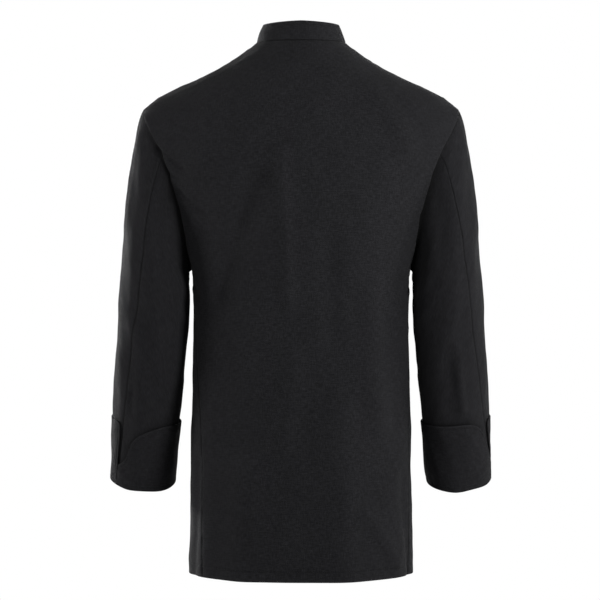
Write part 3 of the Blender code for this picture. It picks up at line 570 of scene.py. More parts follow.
def fold_rise(x, y, run, width, rise):
    """The rise of one soft fold that starts at 0, 0 and runs to a flat place."""
    place, run = np.stack(np.broadcast_arrays(x, y), axis=-1), np.array(run)
    along = np.clip(place @ run / (run @ run), 0.0, 1.0)
    return rise * bell(np.linalg.norm(place - along[..., None] * run, axis=-1), width)


def fold_height(folds, degrees, z, radius):
    """How far soft folds move the cloth out at a place given by its angle and height."""
    height = np.zeros(np.broadcast(degrees, z).shape)
    for top_deg, top_z, low_deg, low_z, width, rise in folds:
        turn = (degrees - top_deg + 180.0) % 360.0 - 180.0
        run = (math.radians(low_deg - top_deg) * radius, low_z - top_z)
        height = height + fold_rise(np.radians(turn) * radius, z - top_z, run, width, rise)
    return height


def flat_folds(folds, across, up):
    """How far soft folds move the cloth out at a flat place."""
    return sum(fold_rise(across - top_x, up - top_y, (low_x - top_x, low_y - top_y), width, rise)
               for top_x, top_y, low_x, low_y, width, rise in folds)


# ---------------------------------------------------------------- body surface
def torso_level(points):
    """1 on the body's surface, less inside it and more outside."""
    x, y, z = np.moveaxis(points, -1, 0)
    section = TORSO.at(z)
    depth = np.where(y >= 0, section.back, section.front)
    return (np.abs(x) / section.half_width) ** section.roundness + (np.abs(y) / depth) ** section.roundness


def torso_place(x, z, facing):
    """Points of the body and their normals: facing is 1 on the back half and -1 on the front."""
    section = TORSO.at(z)
    ratio = np.minimum(1.0, np.abs(x) / section.half_width)
    rest = (1.0 - ratio ** section.roundness) ** (1.0 / section.roundness)
    y = facing * rest * np.where(facing > 0, section.back, section.front)
    degrees = np.degrees(np.arctan2(x / section.half_width, facing * rest))
    points = stack(x, y, z)
    steps = np.eye(3) * SMALL_STEP
    normals = unit(np.stack([torso_level(points + step) - torso_level(points - step) for step in steps],
                            axis=-1))
    rise = (fold_height(BODY_FOLDS, degrees, z, BODY_RADIUS)
            + fold_height(BODY_CREASES, degrees, z, BODY_RADIUS))
    return points + normals * rise[..., None], normals


def armhole_z(degrees):
    """Height of the armhole's edge, round from the shoulder point over the back."""
    middle = (SHOULDER_Z + UNDERARM_Z) / 2
    return middle + (SHOULDER_Z - middle) * np.cos(np.radians(degrees))


def armhole_x(z, on_back):
    """Half-width at the armhole's edge, brought round to the underarm in one even curve."""
    def table(level):
        row = ARMHOLE.at(level)
        return np.where(on_back, row.back_x, row.front_x)

    low = np.clip((z - UNDERARM_Z) / (UNDERARM_JOIN_Z - UNDERARM_Z), 0.0, 1.0)
    short = 1.0 - table(UNDERARM_JOIN_Z) / TORSO.at(UNDERARM_JOIN_Z).half_width
    under = TORSO.at(z).half_width * (1.0 - short * low ** UNDERARM_POWER)
    return np.where(z < UNDERARM_JOIN_Z, under, table(z))


def armhole_place(degrees, hand):
    """Points of the armhole's edge and the body's normals there."""
    z = armhole_z(degrees)
    on_back = degrees % 360.0 <= 180.0
    return torso_place(hand * armhole_x(z, on_back), z, np.where(on_back, 1, -1))


def panel_rows(facing, grid):
    """Rows of a panel from the neck down to the hem, crowded where the neck and hem edges turn."""
    near_neck = NECK_SIDE_Z - SEAM.near * NECK_NEAR_SHARE
    near_hem = HEM_Z + HEM.near[::-1]
    count = math.ceil((near_neck[-1] - SHOULDER_Z) / (grid * SHOULDER_ROW_SHARE))
    shoulder = np.concatenate([near_neck, np.linspace(near_neck[-1], SHOULDER_Z, count + 1)[1:-1]])
    turn = 180.0 / math.ceil((SHOULDER_Z - UNDERARM_Z) * ARMHOLE_ROW_SHARE / grid)
    angles = np.arange(0.0, 180.0 + turn / 2, turn)
    count = math.ceil((UNDERARM_Z - near_hem[0]) / grid)
    side = np.concatenate([np.linspace(UNDERARM_Z, near_hem[0], count + 1)[1:-1], near_hem])
    z = np.concatenate([shoulder, armhole_z(angles), side])
    edge = np.concatenate([TORSO.at(shoulder).half_width, armhole_x(armhole_z(angles), facing > 0),
                           TORSO.at(side).half_width])
    in_side = np.arange(len(z)) >= len(shoulder) + len(angles)
    in_hole = (np.arange(len(z)) > len(shoulder)) & (np.arange(len(z)) < len(shoulder) + len(angles) - 1)
    return SimpleNamespace(z=z[:, None], edge=edge[:, None], side=in_side[:, None], hole=in_hole[:, None])


def level_at(rows, share, facing):
    """Height of a row at a share of its half-width: it drops to the centre at neck and hem."""
    bow = np.maximum(0.0, 1.0 - share * share)
    at_hem = rows.z - HEM_DROP * fade(-rows.z, -UNDERARM_Z, -HEM_Z) * bow
    full = NECK_BACK_DROP if facing > 0 else NECK_FRONT_DROP
    left = np.clip((rows.z - UNDERARM_Z) / (NECK_SIDE_Z - UNDERARM_Z), 0.0, 1.0)
    at_neck = rows.z - full * left ** NECK_FADE_POWER * bow ** NECK_DROP_POWER
    return np.where(rows.side, at_hem, at_neck)


def panel_place(rows, facing, hand, part):
    """Points of a panel: part runs from 0 at the centre to 1 at the row's edge."""
    seam = SIDE_SEAM.at(rows.z)
    seam = np.where(hand > 0, seam.left_deg, seam.right_deg)
    angle = np.radians(part * seam if facing > 0 else 180.0 - part * (180.0 - seam))
    arc = np.sin(part * math.pi / 2)
    even = np.where(rows.hole, EVEN_SPREAD * fade(-rows.z, -SHOULDER_Z, EVEN_RANGE - SHOULDER_Z)
                    * fade(rows.z, UNDERARM_Z, UNDERARM_Z + EVEN_RANGE), 0.0)
    share = np.where(rows.side, np.sin(angle), np.minimum(1.0, arc + (part - arc) * even))
    half = np.where(rows.side, np.where(np.cos(angle) > 0, 1, -1), facing)
    return torso_place(hand * rows.edge * share, level_at(rows, share, facing), half)


def lap_lift(points, hand):
    """How far the outer front is lifted where the inner front lies under it."""
    over = 1.0 - fade(hand * points[..., 0], *LAP_FADE_X)
    return LAP_LIFT * over * fade(-points[..., 2], -LAP_FADE_Z[0], -LAP_FADE_Z[1])


def front_place(rows, hand, part):
    """Points of a front: part is 1 at the edge, 0 at the centre and below it on the lap."""
    on_panel, panel_normal = panel_place(rows, -1, hand, np.maximum(part, 0.0))
    on_lap, lap_normal = torso_place(hand * np.minimum(part, 0.0) * LAP_HALF,
                                     level_at(rows, 0.0 * part, -1), -1)
    inside = (part >= 0)[..., None]
    points, normals = np.where(inside, on_panel, on_lap), np.where(inside, panel_normal, lap_normal)
    if hand == LEFT:
        points = points + normals * lap_lift(points, hand)[..., None]
    return points, normals


def back_place(rows, part):
    """Points of the back: part runs from -1 at its right edge to 1 at its left one."""
    return panel_place(rows, 1, np.where(part >= 0, LEFT, RIGHT), np.abs(part))


def neck_row():
    """The neckline itself, as the only row of a panel."""
    flag = np.array([[False]])
    return SimpleNamespace(z=np.array([[NECK_SIDE_Z]]), edge=np.array([[TORSO.at(NECK_SIDE_Z).half_width]]),
                           side=flag, hole=flag)


def neck_place(degrees):
    """Points of the neck seam and the panel's normals, round from the centre back to either side."""
    turn = np.abs(degrees).reshape(1, -1)
    hand = np.where(degrees >= 0, LEFT, RIGHT).reshape(1, -1)
    back, back_normal = panel_place(neck_row(), 1, hand, np.minimum(turn / 90.0, 1.0))
    part = np.clip((180.0 - turn) / 90.0, 0.0, 1.0)
    front, front_normal = panel_place(neck_row(), -1, hand, part)
    lift = np.where(hand == LEFT, lap_lift(front, LEFT), 0.0)
    front = front + front_normal * lift[..., None]
    behind = (turn <= 90.0)[..., None]
    shape = degrees.shape + (3,)
    return (np.where(behind, back, front).reshape(shape),
            np.where(behind, back_normal, front_normal).reshape(shape))


# ---------------------------------------------------------------- collar, sleeve and cuff surfaces
def collar_place(degrees, climb):
    """Points of the collar's outer face at a height up it, and the face's normals."""
    edge, panel_normal = neck_place(degrees)
    along = unit(neck_place(degrees + SMALL_TURN)[0] - neck_place(degrees - SMALL_TURN)[0])
    off = unit(np.cross(panel_normal, along))
    off = off * np.where(off[..., 2:] > 0, 1.0, -1.0)
    shape = COLLAR.at(np.abs(degrees))
    outward = unit(np.cross(along, np.broadcast_to(UP, along.shape)))
    meet = (outward * panel_normal).sum(-1)
    outward = outward * np.where(meet > 0, 1.0, -1.0)[..., None]
    up = np.broadcast_to(UP, along.shape)
    stand, face = turned(up, -outward, shape.lean_deg), turned(outward, up, shape.lean_deg)
    share = climb / shape.height
    swell = COLLAR_SWELL * np.sin(np.clip(share, 0.0, 1.0) * math.pi)
    rise = climb - COLLAR_TUCK * (1.0 - np.abs(meet))
    return edge + off * COLLAR_LIFT + stand * rise[..., None] + face * swell[..., None], face


def sleeve_section(degrees, z, hand):
    """Points of the sleeve's sections whose centres are at z, and the way down the sleeve."""
    def centre(level):
        row = SLEEVE.at(level)
        return stack(hand * row.x, row.y, level)

    row = SLEEVE.at(z)
    low = np.maximum(z - SLEEVE_SPAN, WRIST_Z)
    down = unit(centre(low) - centre(low + 2 * SLEEVE_SPAN))
    side = np.array((hand, 0.0, 0.0))
    side = unit(side - down * (down @ side)[..., None])
    back = np.cross(side, down) * hand
    angle = np.radians(degrees)
    return (centre(z) + side * (row.half_width * np.cos(angle))[..., None]
            + back * (row.half_depth * np.sin(angle))[..., None]), down


def head_start(degrees, hand):
    """Where the sleeve starts at the armhole: its points, its run and its own normals."""
    edge, normal = armhole_place(degrees, hand)
    ahead = armhole_place(degrees + SMALL_TURN, hand)[0]
    behind = armhole_place(degrees - SMALL_TURN, hand)[0]
    off = unit(np.cross(ahead - behind, normal)) * hand
    turn = degrees % 360.0
    row = SLEEVE_HEAD.at(np.minimum(turn, 360.0 - turn))
    start = edge + turned(off, normal, np.maximum(0.0, row.turn_deg - 90.0)) * ARMHOLE_GAP
    run = turned(off, normal, row.turn_deg) * row.reach[..., None]
    return start, run, turned(normal, -off, np.maximum(0.0, row.turn_deg))


def sleeve_raw(degrees, level, hand):
    """Points of the sleeve without folds: level 0 to 1 is the sleeve head, 1 to 2 the arm."""
    degrees, level = np.broadcast_arrays(degrees, level)
    z = SLEEVE_TOP_Z + (np.maximum(level, 1.0) - 1.0) * (WRIST_Z - SLEEVE_TOP_Z)
    end, down = sleeve_section(degrees, z, hand)
    start, run, _ = head_start(degrees, hand)
    finish = down * np.linalg.norm(end - start, axis=-1, keepdims=True)
    first, last, leave, arrive = cubic_shares(np.minimum(level, 1.0)[..., None])
    head = start * first + run * leave + end * last - finish * arrive
    return np.where((level >= 1.0)[..., None], end, head)


def sleeve_place(degrees, level, hand):
    """Points of the sleeve with its folds, and the outward normals."""
    degrees, level = np.broadcast_arrays(degrees, level)
    points = sleeve_raw(degrees, level, hand)
    low, high = np.maximum(0.0, level - SMALL_LEVEL), np.minimum(level + SMALL_LEVEL, 2.0)
    down_way = sleeve_raw(degrees, high, hand) - sleeve_raw(degrees, low, hand)
    round_way = (sleeve_raw(degrees + SMALL_TURN, level, hand)
                 - sleeve_raw(degrees - SMALL_TURN, level, hand))
    normals = unit(np.cross(down_way, round_way)) * hand
    own = head_start(degrees, hand)[2]
    normals = np.where((level <= 0.0)[..., None], own, normals)
    shown = fade(level, 0.0, HEAD_FOLD_LEVEL) * (1.0 - fade(level, *CUFF_FOLD_LEVELS))
    rise = fold_height(SLEEVE_FOLDS[hand], degrees % 360.0, points[..., 2], SLEEVE_RADIUS) * shown
    return points + normals * rise[..., None], normals


def sleeve_seams(level, hand):
    """Angles of the back and front seams at a level of the sleeve."""
    seams = SLEEVE_SEAMS.at(level)
    return (seams.left_back, seams.left_front) if hand == LEFT else (seams.right_back, seams.right_front)


def cuff_level(height):
    """Level of the sleeve at a height above the cuff's turned edge."""
    return 2.0 - height / (SLEEVE_TOP_Z - WRIST_Z)


def cuff_top(degrees):
    """Height of a cuff above its turned edge."""
    return CUFF_HEIGHT - CUFF_FALL * (1.0 - np.cos(np.radians(degrees - CUFF_HIGH_DEG))) / 2


def cuff_place(degrees, height, hand):
    """Points on the sleeve's outer face under the cuff, by the height above the turned edge."""
    return sleeve_place(degrees, cuff_level(height * cuff_top(degrees) / CUFF_HEIGHT), hand)


# ---------------------------------------------------------------- edges of the cloth
GROOVE_STEPS = (-0.0016, -0.0009, -0.0004, 0.0, 0.0004, 0.0009, 0.0016)
TURN_STEPS = (0, 0.0003, 0.0006, 0.0011)    # mesh lines beside an edge that is turned in
FOLD_STITCH, HEM_STITCH, CUFF_STITCH = 0.0060, 0.0165, 0.0040   # how far in from it the stitches lie


def edge_kind(near, roll, stitch=None, turn=0.0, wear=1.0, pucker=0.5, valley=0.0, painted_shade=0.0,
              painted_shade_reach=0.0012):
    """An edge: mesh lines beside it, rounding, stitch line, turned depth, wear, ripples, valley, and the
    painted shade along it with how far that reaches.
    """
    return SimpleNamespace(near=np.array(near), roll=roll, stitch=stitch, turn=turn, wear=wear,
                           pucker=pucker, valley=valley, painted_shade=painted_shade, painted_shade_reach=painted_shade_reach)


def stitch_lines(middle):
    """Mesh lines that carry the groove of a row of stitches."""
    return [middle + step for step in GROOVE_STEPS]


# Painted shade: each kind's painted_shade darkens the cloth along the edge, as shade in a seam's valley or in
# the gap beside the edge.
SEAM = edge_kind((0, 0.0004, 0.0009, 0.0015, 0.0022, 0.0033, 0.0050, 0.0075), 0.0019, wear=0.12,
                 pucker=1.0, valley=0.0007, painted_shade=0.85)
FOLD = edge_kind((*TURN_STEPS, 0.0020, 0.0033, *stitch_lines(FOLD_STITCH), 0.0100), 0.0008,
                 stitch=FOLD_STITCH)
HEM = edge_kind((*TURN_STEPS, 0.0022, 0.0050, 0.0085, 0.0120, *stitch_lines(HEM_STITCH), 0.0210), 0.0008,
                stitch=HEM_STITCH, turn=HEM_STITCH)
COLLAR_EDGE = edge_kind(FOLD.near, 0.0011, stitch=FOLD_STITCH)
NECK = edge_kind(SEAM.near, 0.0015, wear=0.0, pucker=0.4, valley=0.0003, painted_shade=0.95)
CUFF_EDGE = edge_kind((*TURN_STEPS, 0.0018, *stitch_lines(CUFF_STITCH), 0.0075), 0.0009,
                      stitch=CUFF_STITCH)
CUFF_SEAM = edge_kind(CUFF_EDGE.near, 0.0007, wear=0.2, pucker=0.4, painted_shade=0.6)
ARMHOLE_EDGE = edge_kind(SEAM.near, 0.0023, wear=0.0, pucker=0.5, painted_shade=1.0, painted_shade_reach=0.0026)


# ---------------------------------------------------------------- cloth as a shell
def by_length(place, low, high, grid, low_edge, high_edge):
    """Parameters across each row so that points lie at the edges' own lines and a grid step apart."""
    dense = np.linspace(low, high, DENSE)[None, :]
    run = running(place(dense)[0], 1)
    total = run[:, -1:]
    first, last = low_edge.near[-1], high_edge.near[-1]
    count = math.ceil((np.median(total) - first - last) / grid)
    middle = first + (total - first - last) * np.linspace(0, 1, count + 1)[None, 1:-1]
    wanted = np.concatenate([np.broadcast_to(low_edge.near, (len(run), len(low_edge.near))), middle,
                             total - high_edge.near[::-1]], axis=1)
    return np.array([np.interp(w, r, dense[0]) for w, r in zip(wanted, run)])


def waves(along, table):
    """The sum of some sine waves along a line."""
    return sum(share * np.sin(2 * math.pi * along / length + start) for length, start, share in table)


def unevenness(across, up):
    """Broad, soft unevenness of cloth that isn't pulled tight."""
    return sum(waves(across * math.cos(direction) + up * math.sin(direction), ((length, start, share),))
               for length, direction, start, share in UNEVEN_WAVES)


def grid_edges(points, left=None, right=None, top=None, low=None):
    """Edges along the sides of a grid: each kind with the distance from it and the run along it."""
    across, down = running(points, 1), running(points, 0)
    sides = ((left, across, down), (right, across[:, -1:] - across, down), (top, down, across),
             (low, down[-1:] - down, across))
    return [side for side in sides if side[0]]


def shape_edges(flat, cloth, edges, lift, painted_shade):
    """Rise of the outer face, depth of the inner one, wear and painted shade, from the edges."""
    shape = flat.shape[:-1]
    rise, depth, painted_shade = np.zeros(shape) + lift, np.full(shape, cloth), np.zeros(shape) + painted_shade
    roll, wear, nearest = np.zeros(shape), np.zeros(shape), np.full(shape, 1.0)
    for kind, away, along in edges:
        nearest = np.minimum(nearest, away)
        inside = np.clip(1.0 - away / kind.roll, 0.0, 1.0)
        roll = np.maximum(roll, 1.0 - np.sqrt(1.0 - inside * inside))
        wear = np.maximum(wear, np.exp(-away / WEAR_REACH) * kind.wear)
        reach = away / PUCKER_REACH
        rise = rise + PUCKER * kind.pucker * waves(along, PUCKER_WAVES) * reach * np.exp(1.0 - reach)
        if kind.stitch:
            groove = bell(away - kind.stitch, GROOVE_WIDTH)
            # painted shade in the stitches' groove
            rise, painted_shade = rise - GROOVE_DEPTH * groove, np.maximum(painted_shade, STITCH_GROOVE_SHADE * groove)
        if kind.turn:
            depth = depth + HEM_LAYERS * (1.0 - fade(away, kind.turn, kind.turn + HEM_STEP))
        rise = rise - kind.valley * bell(away, VALLEY_REACH)
        # painted shade along the edge, in its valley or in the gap beside it
        painted_shade = np.maximum(painted_shade, kind.painted_shade * bell(away, kind.painted_shade_reach))
    rise = rise + UNEVEN * unevenness(flat[..., 0], flat[..., 1]) * fade(nearest, *UNEVEN_FADE)
    rise = rise * (1.0 - roll) - ROLL_DEPTH * depth * roll
    depth = depth * (1.0 - ROLL_DEPTH * roll)
    return rise, depth, wear, painted_shade


def grid_flat(points):
    """Flat places of a grid: across from the middle of each row, and down from the first row."""
    across, down = running(points, 1), running(points, 0)
    return np.stack([across - across[:, -1:] / 2, -down], axis=-1)


def body_flat(points):
    """Flat places of a panel: round from the centre of the body, and up it and over the shoulder."""
    across = running(points, 1)
    x = points[..., 0]
    centre = np.array([np.interp(0.0, *((row, run) if row[-1] > row[0] else (row[::-1], run[::-1])))
                       for row, run in zip(x, across)])
    y, z = np.abs(points[..., 1]), points[..., 2]
    up = z + (OVER_SHOULDER_Y - y) * fade(z, *OVER_SHOULDER_Z)
    return np.stack([(across - centre[:, None]) * np.sign(x[:, -1:] - x[:, :1]), up], axis=-1)


def add_mesh(name, points, quads, uv, wear, painted_shade):
    """A smooth closed mesh whose faces point outwards, with the cloth's flat place, its wear and its painted
    shade on it.
    """
    corners = points[quads]
    volume = sum(np.einsum("ij,ij->i", corners[:, 0], np.cross(corners[:, a], corners[:, a + 1])).sum()
                 for a in (1, 2))
    if volume < 0:
        quads = quads[:, ::-1]
    mesh = bpy.data.meshes.new(name)
    mesh.from_pydata(points.tolist(), [], quads.tolist())
    layer = mesh.uv_layers.new(name="cloth")
    layer.data.foreach_set("uv", uv[quads.ravel()].astype(np.float32).ravel())
    for key, values in (("wear", wear), ("painted_shade", painted_shade)):
        mesh.attributes.new(key, "FLOAT", "POINT").data.foreach_set("value", values.astype(np.float32))
    mesh.shade_smooth()
    return in_scene(name, mesh)


def shell_faces(rows, columns):
    """Faces of a closed wall between two grids of points, the outer one first."""
    index = np.arange(rows * columns).reshape(rows, columns)
    under = index + rows * columns
    sheets = [(index[:-1, :-1], index[:-1, 1:], index[1:, 1:], index[1:, :-1]),
              (under[:-1, :-1], under[1:, :-1], under[1:, 1:], under[:-1, 1:]),
              (index[0, :-1], under[0, :-1], under[0, 1:], index[0, 1:]),
              (index[-1, :-1], index[-1, 1:], under[-1, 1:], under[-1, :-1]),
              (index[:-1, 0], index[1:, 0], under[1:, 0], under[:-1, 0]),
              (index[:-1, -1], under[:-1, -1], under[1:, -1], index[1:, -1])]
    return np.concatenate([np.stack(sheet, -1).reshape(-1, 4) for sheet in sheets])


def shell(name, points, normals, cloth, edges, flat, lift=0.0, painted_shade=0.0):
    """A cloth piece from the grid of its outer face, and that face as it is finished."""
    rise, depth, wear, painted_shade = shape_edges(flat, cloth, edges, lift, painted_shade)
    outer = points + normals * rise[..., None]
    inner = points - normals * depth[..., None]
    both = np.concatenate([outer.reshape(-1, 3), inner.reshape(-1, 3)])
    piece = add_mesh(name, both, shell_faces(*outer.shape[:2]), np.tile(flat.reshape(-1, 2), (2, 1)),
                     np.tile(wear.ravel(), 2), np.tile(painted_shade.ravel(), 2))
    return piece, outer


# ---------------------------------------------------------------- shader maths
class Value:
    """A number in a shader tree that can be reckoned with in plain expressions."""

    def __init__(self, shade, socket):
        self.shade, self.socket = shade, socket

    def math(self, operation, *others, clamp=False):
        values = [getattr(other, "socket", other) for other in (self, *others)]
        node = self.shade.node("ShaderNodeMath", {"operation": operation, "use_clamp": clamp},
                               dict(enumerate(values)))
        return Value(self.shade, node.outputs[0])

    def __add__(self, other):
        return self.math("ADD", other)

    def __sub__(self, other):
        return self.math("SUBTRACT", other)

    def __rsub__(self, other):
        return (self * -1.0).math("ADD", other)

    def __mul__(self, other):
        return self.math("MULTIPLY", other)

    __radd__, __rmul__ = __add__, __mul__

    def sine(self):
        return self.math("SINE")

    def limited(self):
        """The number held between 0 and 1."""
        return self.math("ADD", 0.0, clamp=True)


class Shade:
    """A material and its node tree."""

    def __init__(self, name):
        self.material = bpy.data.materials.new(name)
        self.material.use_nodes = True
        self.tree = self.material.node_tree
        self.shader = self.tree.nodes["Principled BSDF"]

    def node(self, kind, settings=None, inputs=None):
        return add_node(self.tree, kind, settings, inputs)

    def value(self, kind, settings=None, inputs=None, output=0):
        """One output of a new node, to reckon with."""
        return Value(self, self.node(kind, settings, inputs).outputs[output])

    def place(self):
        """The place on the object itself."""
        return self.value("ShaderNodeTexCoord", output="Object")

    def attribute(self, name):
        """A number that the mesh carries."""
        return self.value("ShaderNodeAttribute", {"attribute_name": name}, output=2)

    def noise(self, place, scale, detail):
        return self.value("ShaderNodeTexNoise", {}, {"Vector": place, "Scale": scale, "Detail": detail})

    def scaled(self, place, factors):
        """A place with its axes stretched."""
        return self.value("ShaderNodeVectorMath", {"operation": "MULTIPLY"}, {0: place, 1: factors})

    def mix(self, amount, first, second):
        return self.value("ShaderNodeMix", {"data_type": "RGBA"},
                          {0: amount, 6: first, 7: second}, 2)

    def link(self, **sockets):
        """Varying inputs of the shader, by their names with _ for spaces."""
        for key, value in sockets.items():
            self.tree.links.new(value.socket, self.shader.inputs[key.replace("_", " ")])

    def set(self, **sockets):
        """Even inputs of the shader, set on it directly."""
        for key, value in sockets.items():
            self.shader.inputs[key.replace("_", " ")].default_value = value

    def bump(self, height, strength, distance):
        self.link(Normal=self.value("ShaderNodeBump", {},
                                    {"Height": height, "Strength": strength, "Distance": distance}))


def opaque(colour, brightness=1.0):
    """A colour with its alpha, made lighter or darker."""
    return (*(part * brightness for part in colour), 1.0)


# The twill's streaks and clouds, by how often they repeat in a metre: across and up the cloth.
YARNS, WEFT = (1300.0, 100.0, 1.0), (90.0, 1000.0, 1.0)
SLUBS, CROSS_SLUBS = (480.0, 130.0, 1.0), (110.0, 520.0, 1.0)
MOTTLE, BROAD, WANDER = 46.0, 9.0, 240.0
RIB_SLOPE, RIB_WANDER = 0.87, 2.2       # rise of the ribs over their run, and how unevenly they lie
# How much each of them adds to the lighter colour, and to the relief.
TWILL_LIGHT = SimpleNamespace(even=0.22, ribs=0.05, yarns=0.60, weft=0.70, slubs=1.50, mottle=0.16,
                              broad=0.22, wear=0.10, worn_mottle=0.20)
TWILL_RELIEF = SimpleNamespace(ribs=0.5, yarns=0.6, weft=0.6, slubs=0.5, mottle=0.8)
# Strength and distance of each finish's bump.
TWILL_BUMP, THREAD_BUMP, BUTTON_BUMP = (0.50, 0.00022), (0.4, 0.0001), (0.15, 0.00008)
# Noises of the other finishes, and how much lighter or darker their second colour is.
THREAD_TWIST = 2600.0
BUTTON_MARKS, BUTTON_CLOUD = (300.0, 300.0, 1500.0), 160.0
FLOOR_CLOUD = 1.4
THREAD_LIGHTER, BUTTON_LIGHTER, FLOOR_DARKER = 2.2, 1.9, 0.96


def twill_shade():
    """Matt dyed twill: diagonal ribs, yarn unevenness, soft shading of the dye and lighter edges, with
    painted shade mixed in where the mesh carries it.
    """
    colours, sizes = bpy.context.scene.jacket_colours, bpy.context.scene.jacket_sizes
    shade, light, relief = Shade("black_twill"), TWILL_LIGHT, TWILL_RELIEF
    cloth = shade.value("ShaderNodeUVMap", {"uv_map": "cloth"})
    parts = shade.node("ShaderNodeSeparateXYZ", inputs={0: cloth})
    across, up = Value(shade, parts.outputs[0]), Value(shade, parts.outputs[1])

    def streaks(factors):
        return shade.noise(shade.scaled(cloth, factors), 1.0, 1.0)

    wander = shade.noise(cloth, WANDER, 1.0)
    ribs = ((across * RIB_SLOPE + up) * (2 * math.pi / sizes.weave_pitch) + wander * RIB_WANDER).sine()
    yarns, weft = streaks(YARNS), streaks(WEFT)
    slubs = (streaks(SLUBS) + streaks(CROSS_SLUBS)) * 0.5
    mottle, broad = shade.noise(cloth, MOTTLE, 3.0), shade.noise(cloth, BROAD, 2.0)
    wear, painted_shade = shade.attribute("wear"), shade.attribute("painted_shade")
    lighter = (light.even + ribs * light.ribs + (yarns - 0.5) * light.yarns + (weft - 0.5) * light.weft
               + (slubs - 0.5) * light.slubs + (mottle - 0.5) * light.mottle + (broad - 0.5) * light.broad
               + wear * (light.wear + mottle * light.worn_mottle)).limited()
    dyed = shade.mix(lighter, opaque(colours.twill), opaque(colours.worn))
    # Painted shade: near black mixed in by the painted_shade attribute, in seams, grooves and beside the
    # armholes and cuffs.
    shade.link(Base_Color=shade.mix(painted_shade.limited(), dyed, opaque(colours.painted_shade_colour)),
               Roughness=0.94 - ribs * 0.02 - wear * 0.12)
    shade.set(Specular_IOR_Level=0.09, Sheen_Weight=0.012, Sheen_Roughness=0.45)
    shade.bump(ribs * relief.ribs + yarns * relief.yarns + weft * relief.weft + slubs * relief.slubs
               + mottle * relief.mottle, *TWILL_BUMP)
    return shade.material


def thread_shade():
    """Sewing thread with its twist."""
    shade, tone = Shade("black_thread"), bpy.context.scene.jacket_colours.thread
    twist = shade.noise(shade.place(), THREAD_TWIST, 1.0)
    shade.link(Base_Color=shade.mix(twist, opaque(tone), opaque(tone, THREAD_LIGHTER)),
               Roughness=0.72 + twist * 0.2)
    shade.set(Specular_IOR_Level=0.15, Sheen_Weight=0.04)
    shade.bump(twist, *THREAD_BUMP)
    return shade.material


def button_shade():
    """Satin moulded plastic with fine handling marks."""
    shade, tone = Shade("black_button"), bpy.context.scene.jacket_colours.button
    place = shade.place()
    marks = shade.noise(shade.scaled(place, BUTTON_MARKS), 1.0, 3.0)
    cloud = shade.noise(place, BUTTON_CLOUD, 2.0)
    shade.link(Base_Color=shade.mix(cloud, opaque(tone), opaque(tone, BUTTON_LIGHTER)),
               Roughness=0.45 + marks * 0.14 + cloud * 0.06)
    shade.set(Specular_IOR_Level=0.26)
    shade.bump(marks, *BUTTON_BUMP)
    return shade.material


def floor_shade():
    """Pale studio floor."""
    shade, tone = Shade("pale_floor"), bpy.context.scene.jacket_colours.floor
    cloud = shade.noise(shade.place(), FLOOR_CLOUD, 2.0)
    shade.link(Base_Color=shade.mix(cloud, opaque(tone), opaque(tone, FLOOR_DARKER)))
    shade.set(Roughness=0.8, Specular_IOR_Level=0.2)
    return shade.material


MATERIALS = {"black_twill": twill_shade, "black_thread": thread_shade, "black_button": button_shade,
             "pale_floor": floor_shade}


def finish_of(name):
    """A material by its name, made the first time that it is asked for."""
    return bpy.data.materials.get(name) or MATERIALS[name]()


# ---------------------------------------------------------------- pieces of cloth
LINES = []                  # rows of stitches that the pieces ask for: points and the cloth's normals


def dress(piece, node):
    """Gives a piece of cloth its finish, hangs it on the root and hides the frame part that it stands for."""
    piece.data.materials.append(finish_of("black_twill"))
    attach(piece, "root")
    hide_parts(node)


def thread_line(points, normals, pitch, length, tall=1.0, across=False):
    """A row of stitches: its place, its pitch and the size of one stitch."""
    thread = bpy.context.scene.jacket_sizes.thread
    return SimpleNamespace(points=points, normals=normals, pitch=pitch, size=(length, thread, thread * tall),
                           across=across)


def sew(points, normals):
    """Notes a row of stitches, to be sewn once all the cloth is there."""
    sizes = bpy.context.scene.jacket_sizes
    LINES.append(thread_line(points, normals, sizes.stitch_pitch, sizes.stitch_length))


def stitch_index(kind):
    """Which mesh line beside an edge carries its stitches."""
    return int(np.argmin(np.abs(kind.near - kind.stitch)))


def armhole_stand(rows, points, both):
    """How far a panel's turned edge stands up beside the armhole, on both sides or on the first."""
    across = running(points, 1)
    on_hole = (fade(-rows.z, -SHOULDER_Z, ARMHOLE_STAND_TOP - SHOULDER_Z)
               * fade(rows.z, UNDERARM_Z, UNDERARM_Z + ARMHOLE_STAND_LOW))
    away = np.minimum(across, across[:, -1:] - across) if both else across
    return ARMHOLE_STAND * on_hole * (1.0 - fade(away, *ARMHOLE_STAND_FADE))


def add_back():
    """Makes the back and notes the stitches of its hem."""
    sizes = bpy.context.scene.jacket_sizes
    rows = panel_rows(1, sizes.grid)
    part = by_length(lambda p: back_place(rows, p), -1, 1, sizes.grid, SEAM, SEAM)
    points, normals = back_place(rows, part)
    edges = grid_edges(points, left=SEAM, right=SEAM, top=NECK, low=HEM)
    piece, outer = shell("back_panel", points, normals, sizes.cloth, edges, body_flat(points),
                         armhole_stand(rows, points, True))
    dress(piece, "back")
    row = -1 - stitch_index(HEM)
    sew(outer[row], normals[row])


